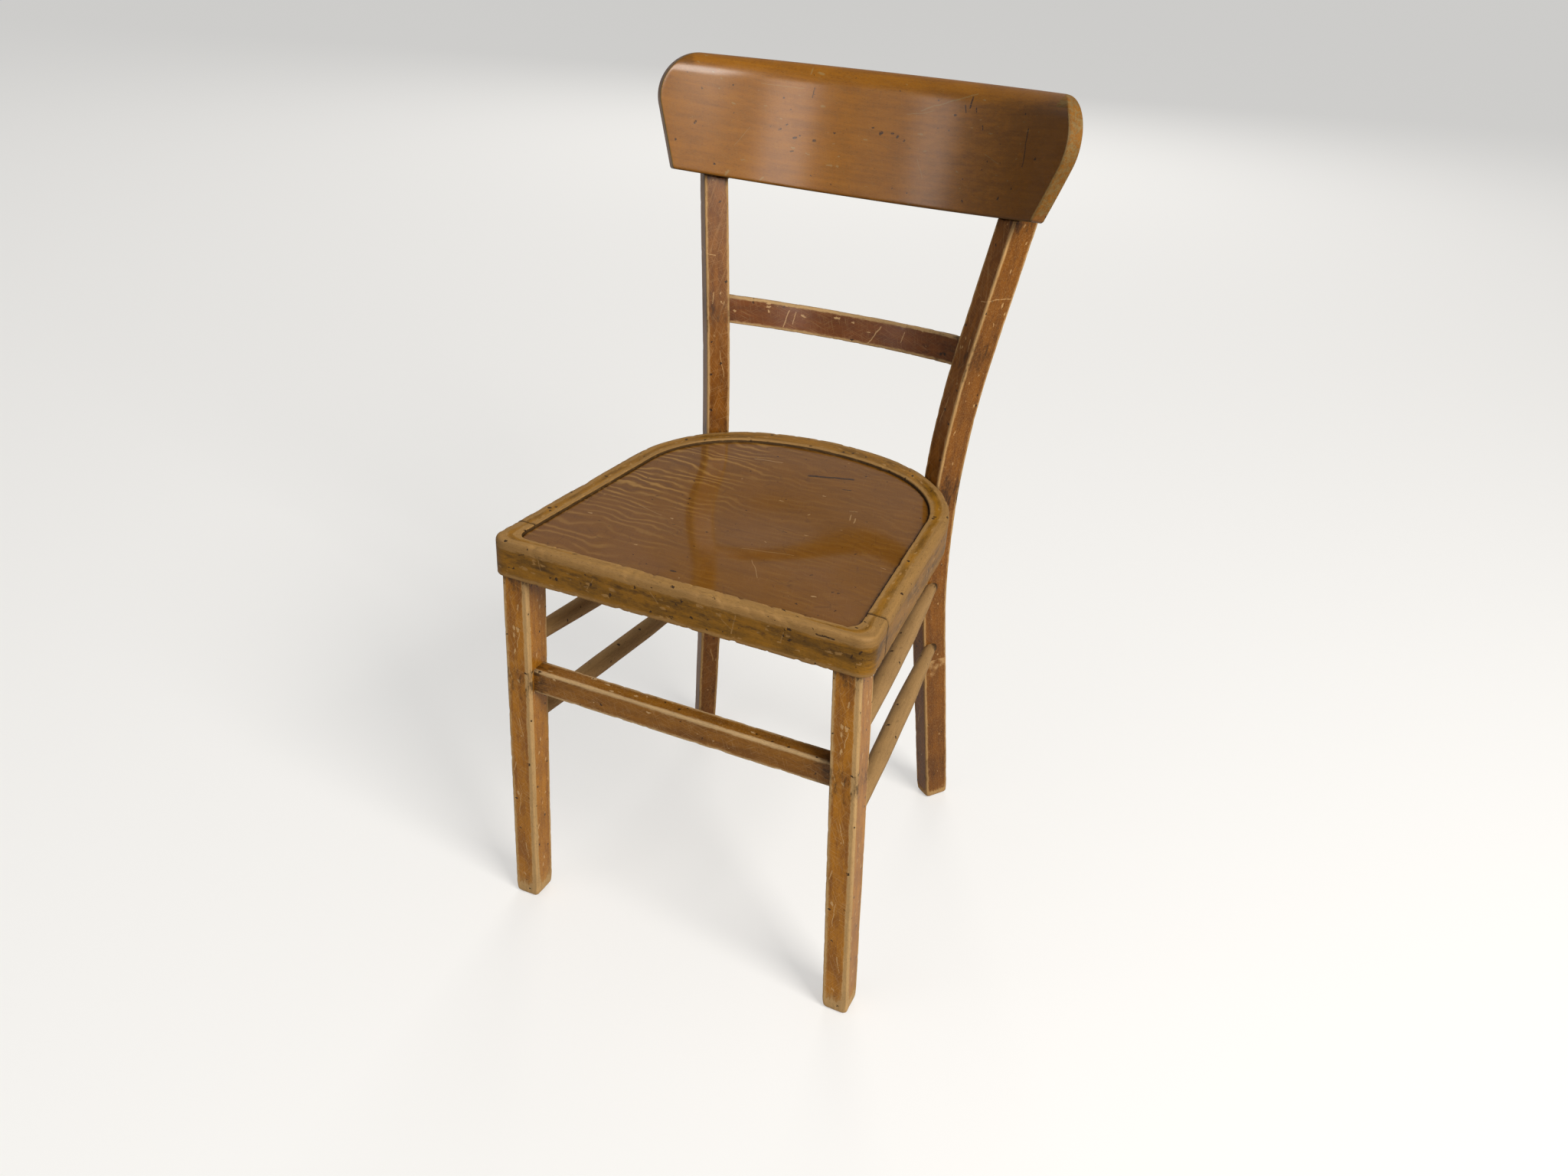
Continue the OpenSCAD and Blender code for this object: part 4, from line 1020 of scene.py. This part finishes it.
class CHAIR_OT_back_posts(bpy.types.Operator):
    """Build the two swept back posts, which run from the floor to behind the crest rail"""
    bl_idname = "chair.back_posts"
    bl_label = "Back posts"

    def execute(self, context):
        sizes = context.scene.chair_sizes
        foot, across, back = post_geometry(sizes)
        mid_y, mid_z = crest_place(sizes)
        reach = sizes.crest_radius + sizes.crest_thickness
        heights = [0.0, 0.0006, 0.0015, 0.003, 0.005, 0.008, 0.012] + \
            list(np.linspace(0.017, 0.715, 190)) + list(np.arange(0.718, 0.742, 0.0012)) + \
            list(np.linspace(0.744, POST_TOP_Z - 0.003, 24)) + \
            [POST_TOP_Z - below for below in (0.002, 0.001, 0.0003, 0.0)]
        for side, name in ((-1, "back_post_left"), (1, "back_post_right")):
            rings, lays, arrises, wears, centres, dirts = [], [], [], [], [], []
            for z in heights:
                cut = 0.0024 * (fading(z, 0.0045) + fading(POST_TOP_Z - z, 0.003)) ** 2
                taper = fading(z, POST_BEND_Z)
                front = post_line(POST_BEND_R, z) + cut
                rear = post_line(POST_BEND_R - sizes.post_depth, z) - cut
                outer = sizes.post_width / 2 - POST_FOOT_IN * taper - cut
                inner = -sizes.post_width / 2 - POST_FOOT_OUT * taper + cut
                slack = fading(z, 0.014) * 0.003
                section, arris = rounded_section(box_corners(inner, outer, front, rear),
                                                 [0.0015 + slack] * 4)
                middle = ((inner + outer) / 2, (front + rear) / 2)
                ring = []
                for a, b in section:
                    p = foot + across * a + back * b
                    ring.append((p.x, p.y + FRONT_Y, z))
                rings.append(ring)
                lays.append([(z, a - middle[0], b - middle[1]) for a, b in section])
                arrises.append(np.minimum(arris, 0.0004 + z * 0.15))
                p = foot + across * middle[0] + back * middle[1]
                centres.append([(p.x, p.y + FRONT_Y, z)] * len(section))
                wears.append([0.6 * fading(z, 0.012) + 0.12 * fading(z, 0.06)] * len(section))
                near = 0.5 * hump(z, 0.44, 0.025) + 0.45 * hump(z, 0.735, 0.02)
                near += 0.22 * hump(z, 0.05, 0.03) + 0.35 * hump(z, 0.59, 0.022)
                dirts.append([0.10 + near] * len(section))
            shape, lay, centre = rows_of_three(rings, lays, centres)
            arris = np.array(arrises).ravel()
            push = knock(shape, lay, arris, 21.0 + side, 0.0006, 0.010)
            push += np.array([0.00025 * (0.5 + wavy(side, l[0], 0.05)) for l in lay])
            points = pushed(shape, centre, push)
            points[:, 2] = shape[:, 2]
            # Where the crest rail stands, the post is cut back to the rail's rear face
            c, s = math.cos(BACK_LEAN), math.sin(BACK_LEAN)
            for p in points:
                y, h = p[1] - mid_y, p[2] - mid_z
                depth, up = y * c - h * s, y * s + h * c
                if up < -0.0002:
                    continue
                if math.hypot(p[0], depth + sizes.crest_radius) < reach:
                    depth = math.sqrt(reach ** 2 - p[0] ** 2) - sizes.crest_radius + 0.0001
                    p[1] = mid_y + depth / c + h * s / c
            points[:, 0] *= side
            faces = loft_faces(len(heights), len(rings[0]))
            make_piece(name + "_wood", points, faces if side > 0 else flip(faces), lay, arris,
                       np.array(wears).ravel(), np.array(dirts).ravel(),
                       "post varnish", [name])
        return {"FINISHED"}


def crest_edge(half, bottom_half, radius, wide_h, corner):
    """Widest place of the crest rail's sawn end, and how far in from it the end is at a height."""
    wide = radius * math.sin(math.asin(half / radius) - CREST_END)
    foot = radius * math.sin(math.asin(bottom_half / radius) - CREST_END) - wide
    away = Vector((foot + corner, -wide_h))
    touch = math.atan2(away.y, away.x) + math.acos(corner / away.length)
    side = Vector((-corner + corner * math.cos(touch), wide_h + corner * math.sin(touch)))

    def inward(h):
        if h <= side.y:
            return foot + (side.x - foot) * h / side.y
        return -corner + math.sqrt(max(0.0, corner ** 2 - (h - wide_h) ** 2))

    return wide, inward


EDGE_EASE = 0.0018


class CHAIR_OT_crest_rail(bpy.types.Operator):
    """Build the curved crest rail with its rolled top and sawn, rounded ends"""
    bl_idname = "chair.crest_rail"
    bl_label = "Crest rail"

    def execute(self, context):
        sizes = context.scene.chair_sizes
        radius, thick, tall = sizes.crest_radius, sizes.crest_thickness, sizes.crest_height
        corner = CREST_CORNER_R
        tilt = math.tan(CREST_TILT)
        stops = np.linspace(-1, 1, 181)

        def top_at(y):
            return tall + (y - radius) * tilt

        ends = {}
        # Rows are set by height up to the ends' widest place, and by angle round their corners
        for side, half in ((-1, sizes.crest_left), (1, sizes.crest_right)):
            sag = radius * (1 - math.cos(math.asin(half / radius))) - corner * math.sin(CREST_END)
            wide_h = tall - (sag - thick * 0.5) * tilt - corner
            ends[side] = (wide_h,) + crest_edge(half, CREST_BOTTOM_HALF, radius, wide_h, corner)
        rows = [(h, None) for h in (0.0, 0.0004, 0.0011, 0.002, 0.0035)] + \
               [(h, None) for h in np.arange(0.006, 0.070, 0.003)] + \
               [(None, a) for a in np.linspace(0, math.pi / 2, 36)]
        bounds = {}

        def row_height(u, y):
            """Height of this row, spread over the rail's arched top, and the top's height."""
            left_h, right_h = bounds[-1][0], bounds[1][0]
            end_h = left_h + (right_h - left_h) * (u + 1) / 2
            left_top, right_top = ends[-1][0] + corner, ends[1][0] + corner
            end_top = left_top + (right_top - left_top) * (u + 1) / 2
            return end_h / end_top * top_at(y), top_at(y)

        def front_depth(h, top):
            over = (h - (top - CREST_ROLL_H)) / CREST_ROLL_H
            if over <= 0:
                return 0.0012 * fading(h, EDGE_EASE) ** 2
            return CREST_ROLL_T * (1 - math.sqrt(max(0.0, 1 - min(over, 1.0) ** 2)))

        def end_angle(side, r):
            return CREST_END + math.asin(min(1.0, bounds[side][1] / r))

        def place(u, r):
            a = end_angle(1 if u > 0 else -1, r) * u
            return r * math.sin(a), r * math.cos(a)

        points, lays, arrises = [], [], []
        for height, angle in rows:
            for side in (-1, 1):
                wide_h, wide, inward = ends[side]
                if angle is None:
                    end_h = height * wide_h / 0.072
                    off = inward(end_h) - 0.0012 * fading(height, EDGE_EASE) ** 2
                else:
                    end_h = wide_h + corner * math.sin(angle)
                    off = -corner * (1 - math.cos(angle))
                bounds[side] = (end_h, wide + off)
            ring, ring_arris = [], []
            mid_h, mid_top = row_height(0, radius)
            back_r = radius + thick - 0.0012 * fading(mid_h, EDGE_EASE) ** 2 \
                - 0.0010 * fading(mid_top - mid_h, 0.0015)
            front_r = min(radius + front_depth(mid_h, mid_top), back_r - 0.0004)
            ease = min(0.0016, (back_r - front_r) * 0.4)
            squeeze = ease / (radius * end_angle(1, radius))
            for u in stops:
                u = u * (1 - squeeze)
                x, y = place(u, front_r)
                ring.append((u, x, y))
                ring_arris.append(min(mid_h, (1 - abs(u)) * radius))
            for side in (1, -1):
                a_front, a_back = end_angle(side, front_r), end_angle(side, back_r)
                f = Vector((front_r * math.sin(a_front) * side, front_r * math.cos(a_front)))
                b = Vector((back_r * math.sin(a_back) * side, back_r * math.cos(a_back)))
                width = (b - f).length
                inner_f = Vector(place(side * (1 - squeeze), front_r))
                inner_b = Vector(place(side * (1 - squeeze), back_r))
                way = (b - f).normalized()
                e = min(ease, width * 0.4)
                near, far = f + way * e, b - way * e
                edge = [(inner_f * (1 - t) ** 2 + f * 2 * t * (1 - t) + near * t * t, 0.0)
                        for t in (0.25, 0.5, 0.75, 1.0)]
                edge += [(near.lerp(far, t), min(t, 1 - t) * width) for t in (0.2, 0.4, 0.6, 0.8)]
                edge += [(far * (1 - t) ** 2 + b * 2 * t * (1 - t) + inner_b * t * t, 0.0)
                         for t in (0.0, 0.25, 0.5, 0.75)]
                if side == 1:
                    ring.extend((1.0, p.x, p.y) for p, _ in edge)
                    ring_arris.extend(d for _, d in edge)
                    for u in reversed(stops):
                        u = u * (1 - squeeze)
                        x, y = place(u, back_r)
                        ring.append((u, x, y))
                        ring_arris.append(min(mid_h, (1 - abs(u)) * radius, abs(mid_top - mid_h)))
                else:
                    ring.extend((-1.0, p.x, p.y) for p, _ in reversed(edge))
                    ring_arris.extend(d for _, d in reversed(edge))
            around = len(ring)
            for (u, x, y), d in zip(ring, ring_arris):
                h = row_height(u, y)[0]
                points.append((x, y - radius, h))
                lays.append((math.atan2(x, y) * radius, h, math.hypot(x, y) - radius))
                arrises.append(max(0.0, d))
        lay = np.array(lays)
        faces = loft_sides(len(rows), around)
        last, front_n, edge_n = (len(rows) - 1) * around, len(stops), 12
        for base, turned in ((0, False), (last, True)):
            for j in range(front_n - 1):
                far = front_n + edge_n + front_n - 1 - j
                quad = (base + j, base + j + 1, base + far - 1, base + far)
                faces.append(quad if turned else tuple(reversed(quad)))
            ends_at = ((front_n - 1, front_n + edge_n), (2 * front_n + edge_n - 1, around))
            for start, stop in ends_at:
                loop = [base + (k % around) for k in range(start, stop + 1)]
                faces.append(tuple(loop) if turned else tuple(reversed(loop)))
        front = np.clip(1 - lay[:, 2] / 0.003, 0, 1)
        across = lay[:, 0] / 0.22
        # Dirt on the front face and along the bottom edge, plus painted shade that darkens the
        # front face more and more towards the right end, where the hollow face turns from the light
        dirt_and_shade = 0.06 + front * (0.16 + 0.72 * np.clip(across, 0, 1)) \
            + 0.55 * np.clip(1 - lay[:, 1] / 0.003, 0, 1)
        # Darker at both ends, more at the left end than at the right
        dirt_and_shade += np.where(across < 0, 0.6, 0.25) * (np.abs(across) > 0.93) * (lay[:, 2] > 0.001)
        sawn = (across > 0.985) & (lay[:, 2] > 0.001)
        make_piece("crest_rail_wood", leaned(points, *crest_place(sizes)), faces, lay,
                   np.where(sawn, 0.0006, np.array(arrises)), 0.22 * sawn, dirt_and_shade,
                   "back varnish", ["crest_rail"])
        return {"FINISHED"}


class CHAIR_OT_back_slat(bpy.types.Operator):
    """Build the thin curved slat between the back posts"""
    bl_idname = "chair.back_slat"
    bl_label = "Back slat"

    def execute(self, context):
        sizes = context.scene.chair_sizes
        foot, across, back = post_geometry(sizes)
        radius, tall = SLAT_R, sizes.slat_height
        depth = post_line(POST_BEND_R, SLAT_MID_Z) + SLAT_SET
        seat = foot - across * sizes.post_width / 2 + back * depth
        line_r = radius + SLAT_THICK / 2
        turn = math.asin(seat.x / line_r)
        sag = radius - line_r * math.cos(turn)
        c, s = math.cos(BACK_LEAN), math.sin(BACK_LEAN)
        mid_y = seat.y + sag * c - tall / 2 * s + FRONT_Y
        mid_z = SLAT_MID_Z - sag * s - tall / 2 * c
        sweep = turn + SLAT_TENON / line_r
        rings, lays, arrises, centres = [], [], [], []
        for a in np.linspace(-sweep, sweep, 120):
            section, arris = rounded_section(box_corners(0, SLAT_THICK, 0, tall),
                                             [0.0016, 0.0014, 0.0016, 0.0018])
            rings.append([((radius + t) * math.sin(a), (radius + t) * math.cos(a) - radius, h)
                          for t, h in section])
            lays.append([(a * radius, h, t) for t, h in section])
            arrises.append(arris)
            centre = (line_r * math.sin(a), line_r * math.cos(a) - radius, tall / 2)
            centres.append([centre] * len(section))
        shape, lay, middle = rows_of_three(rings, lays, centres)
        arris = np.array(arrises).ravel()
        push = knock(shape, lay, arris, 31.0, 0.0012, 0.010)
        shape = pushed(shape, middle, push)
        wear = 0.35 * np.clip((lay[:, 1] - (tall - 0.004)) / 0.004, 0, 1)
        dirt_and_shade = 0.14 + 0.35 * np.clip(np.abs(lay[:, 0]) / sweep / radius * 6 - 5, 0, 1)
        # Darker towards the right end
        dirt_and_shade += 0.25 * np.clip(lay[:, 0] / 0.12, 0, 1)
        make_piece("back_slat_wood", leaned(shape, mid_y, mid_z),
                   loft_faces(len(rings), len(rings[0])), lay, arris, wear, dirt_and_shade,
                   "slat varnish", ["back_slat"])
        return {"FINISHED"}


class CHAIR_OT_stretchers(bpy.types.Operator):
    """Build the front stretcher and the four turned side stretchers"""
    bl_idname = "chair.stretchers"
    bl_label = "Stretchers"

    def execute(self, context):
        sizes = context.scene.chair_sizes
        mid = BAR_TOP_Z - BAR_H / 2
        outer, front, _ = leg_lines(sizes, mid)
        front += BAR_SET
        half = outer - sizes.leg_width + BAR_TENON
        rings, lays, arrises, centres = [], [], [], []
        for x in np.linspace(-half, half, 150):
            section, arris = rounded_section(
                box_corners(front, front + BAR_DEPTH, BAR_TOP_Z - BAR_H, BAR_TOP_Z),
                [0.0014, 0.0014, 0.0014, 0.0016])
            rings.append([(x, y + FRONT_Y, z) for y, z in section])
            lays.append([(x, z - mid, y - front) for y, z in section])
            arrises.append(arris)
            centres.append([(x, front + BAR_DEPTH / 2 + FRONT_Y, mid)] * len(section))
        shape, lay, middle = rows_of_three(rings, lays, centres)
        arris = np.array(arrises).ravel()
        push = knock(shape, lay, arris, 41.0, 0.0012, 0.012)
        wear = 0.55 * np.clip(1 - np.hypot(lay[:, 1] - BAR_H / 2, lay[:, 2]) / 0.0025, 0, 1)
        dirt_and_shade = 0.14 + 0.6 * np.clip((np.abs(lay[:, 0]) - half + 0.03) / 0.03, 0, 1)
        make_piece("front_stretcher_wood", pushed(shape, middle, push),
                   loft_faces(len(rings), len(rings[0])), lay, arris, wear, dirt_and_shade,
                   "stretcher varnish", ["front_stretcher"])

        foot, across, back = post_geometry(sizes)
        profile = [(0.0, 0.018), (0.04, 0.018), (0.3, sizes.rod_diameter),
                   (0.62, sizes.rod_diameter),
                   (0.9, 0.016), (0.95, 0.014), (1.0, 0.014)]
        table = np.linspace(-0.2, 1.2, 281)
        soft = np.convolve(np.interp(table, *zip(*profile)), np.ones(17) / 17, "same")
        for level, leg_z, post_z in ROD_LEVELS:
            outer, _, rear = leg_lines(sizes, leg_z)
            start = Vector((outer - sizes.leg_width / 2, rear, leg_z))
            inset_x = POST_FOOT_IN * (1 - post_z / POST_BEND_Z)
            p = foot + across * (sizes.post_width / 2 - inset_x) \
                + back * (post_line(POST_BEND_R, post_z) + ROD_SET)
            end = Vector((p.x, p.y, post_z))
            span = (end - start).length
            way = (end - start).normalized()
            out = way.cross(Vector((0, 0, 1))).normalized()
            up = out.cross(way)
            for side in (-1, 1):
                name = "side_stretcher_%s_%s" % (level, "left" if side < 0 else "right")
                points, lays, wears, dirts = [], [], [], []
                seed = 50.0 + side + leg_z * 10
                for s in np.linspace(-0.004 / span, 1 + 0.006 / span, ROD_STEPS):
                    r = np.interp(s, table, soft) / 2
                    for k in range(ROD_AROUND):
                        a = 2 * math.pi * k / ROD_AROUND
                        spot = Vector((s * 9, math.cos(a), seed + math.sin(a)))
                        rough = 1 + 0.02 * noise.noise(spot)
                        turned = out * math.cos(a) + up * math.sin(a)
                        q = start + way * (s * span) + turned * r * rough
                        points.append((q.x * side, q.y + FRONT_Y, q.z))
                        lays.append((s * span, math.cos(a) * r, math.sin(a) * r))
                        wears.append(0.48 + 0.42 * math.sin(a))
                        dirts.append(0.16 + 0.6 * fading(min(s, 1 - s) * span, 0.012))
                faces = loft_faces(ROD_STEPS, ROD_AROUND)
                make_piece(name + "_wood", np.array(points), faces if side < 0 else flip(faces),
                           lays,
                           np.full(len(points), 0.006), np.array(wears), np.array(dirts),
                           "rod varnish", [name])
        return {"FINISHED"}


class CHAIR_OT_screws(bpy.types.Operator):
    """Finish the screws in tarnished steel"""
    bl_idname = "chair.screws"
    bl_label = "Screws"

    def execute(self, context):
        for name in ("hoop_screws", "crest_screws"):
            give(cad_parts[name], bpy.data.materials["screw steel"])
        return {"FINISHED"}


class CHAIR_OT_finishes(bpy.types.Operator):
    """Make the varnish, veneer and steel materials"""
    bl_idname = "chair.finishes"
    bl_label = "Finishes"

    def execute(self, context):
        colours = context.scene.chair_colours
        for build in (build_grain, build_arris_wear, build_dirt_and_shade, build_scratches, build_specks,
                      build_scored_line):
            build()
        wood("frame varnish", colours, colours.frame_varnish, shade(90, 60, 6), 0.0,
             bare=shade(162, 122, 68), width=0.0022, streaks=0.3, patches=0.6, stain=0.5,
             gloss=0.45, coat=0.12, specks=(190.0, 0.4, 0.16), chips=(230.0, 0.42, 0.34),
             dark_marks=FRAME_GOUGES, light_marks=FRAME_SCRATCHES)
        wood("leg varnish", colours, colours.leg_varnish, shade(124, 70, 6), 10.0,
             bare=shade(208, 168, 112), width=0.0014, streaks=0.28, patches=0.5,
             scratches=0.55, chips=(250.0, 0.36, 0.22), light_marks=LEG_SCRATCHES)
        wood("post varnish", colours, colours.post_varnish, shade(88, 46, 3), 20.0,
             bare=shade(196, 154, 98), width=0.0010, streaks=0.28, patches=0.45,
             scratches=0.45, chips=(250.0, 0.32, 0.10), light_marks=POST_SCRATCHES)
        wood("back varnish", colours, colours.back_varnish, shade(98, 54, 3), 30.0,
             bare=shade(146, 116, 66), width=0.0004, streaks=0.2, patches=0.25, thin_tone=0.2,
             stain=0.16, gloss=0.36, coat=0.5, coat_rough=0.22, scratches=0.3,
             specks=(220.0, 0.3, 0.05), chips=(260.0, 0.28, 0.12),
             dark_marks=CREST_GOUGES, light_marks=CREST_SCRATCHES)
        wood("slat varnish", colours, colours.slat_varnish, shade(80, 38, 1), 40.0,
             width=0.0012, streaks=0.3, light_marks=SLAT_SCRATCHES)
        wood("stretcher varnish", colours, colours.stretcher_varnish, shade(98, 56, 6), 50.0,
             bare=shade(206, 170, 120), width=0.0013, streaks=0.3, scratches=0.45,
             chips=(250.0, 0.34, 0.14))
        wood("rod varnish", colours, colours.rod_varnish, shade(92, 56, 10), 60.0,
             bare=shade(174, 136, 86), width=0.003, ragged=0.8, gloss=0.45, coat=0.12)
        wood("seat veneer", colours, colours.seat_veneer, shade(98, 58, 4), 70.0,
             bare=shade(176, 138, 88), width=0.0001, ragged=0.0, streaks=0.22, flecks=0.5,
             patches=0.3, gloss=0.4, coat=1.0, coat_rough=0.09, sheen=0.04, scratches=0.12,
             specks=(200.0, 0.26, 0.05), chips=(240.0, 0.26, 0.03), figure=rotary_figure,
             dark_marks=SEAT_GOUGES, light_marks=SEAT_SCRATCHES)
        steel = bpy.data.materials.new("screw steel")
        steel.use_nodes = True
        shader = steel.node_tree.nodes["Principled BSDF"]
        w = Wiring(steel.node_tree)
        place = w.put("ShaderNodeTexCoord").outputs["Object"]
        stain = w.noise(place, 600.0, 4.0, 0.6)
        colour = w.blend(w.ramp(stain, 0.4, 0.65), colour4(colours.screw_metal),
                         colour4(colours.grime_and_shade))
        steel.node_tree.links.new(colour, shader.inputs["Base Color"])
        steel.node_tree.links.new(w.ramp(stain, 0.35, 0.7, 0.35, 0.7), shader.inputs["Roughness"])
        shader.inputs["Metallic"].default_value = 0.9
        return {"FINISHED"}


class CHAIR_PT_sidebar(bpy.types.Panel):
    """Sizes, colours and the steps that build the chair"""
    bl_idname = "CHAIR_PT_sidebar"
    bl_label = "Worn varnished chair"
    bl_space_type = "VIEW_3D"
    bl_region_type = "UI"
    bl_category = "Chair"

    def draw(self, context):
        for group in (context.scene.chair_sizes, context.scene.chair_colours):
            box = self.layout.box()
            for name in group.__annotations__:
                box.prop(group, name)
        for step in STEPS:
            self.layout.operator(step.bl_idname)


STEPS = (CHAIR_OT_stage, CHAIR_OT_finishes, CHAIR_OT_seat_frame, CHAIR_OT_seat_panel,
         CHAIR_OT_front_legs,
         CHAIR_OT_back_posts, CHAIR_OT_crest_rail, CHAIR_OT_back_slat, CHAIR_OT_stretchers,
         CHAIR_OT_screws)
CLASSES = (ChairSizes, ChairColours) + STEPS + (CHAIR_PT_sidebar,)


def register():
    for cls in CLASSES:
        bpy.utils.register_class(cls)
    bpy.types.Scene.chair_sizes = PointerProperty(type=ChairSizes)
    bpy.types.Scene.chair_colours = PointerProperty(type=ChairColours)


def unregister():
    del bpy.types.Scene.chair_sizes
    del bpy.types.Scene.chair_colours
    for cls in reversed(CLASSES):
        bpy.utils.unregister_class(cls)


def main():
    register()
    for step in STEPS:
        family, name = step.bl_idname.split(".")
        getattr(getattr(bpy.ops, family), name)()


if __name__ == "__main__":
    main()
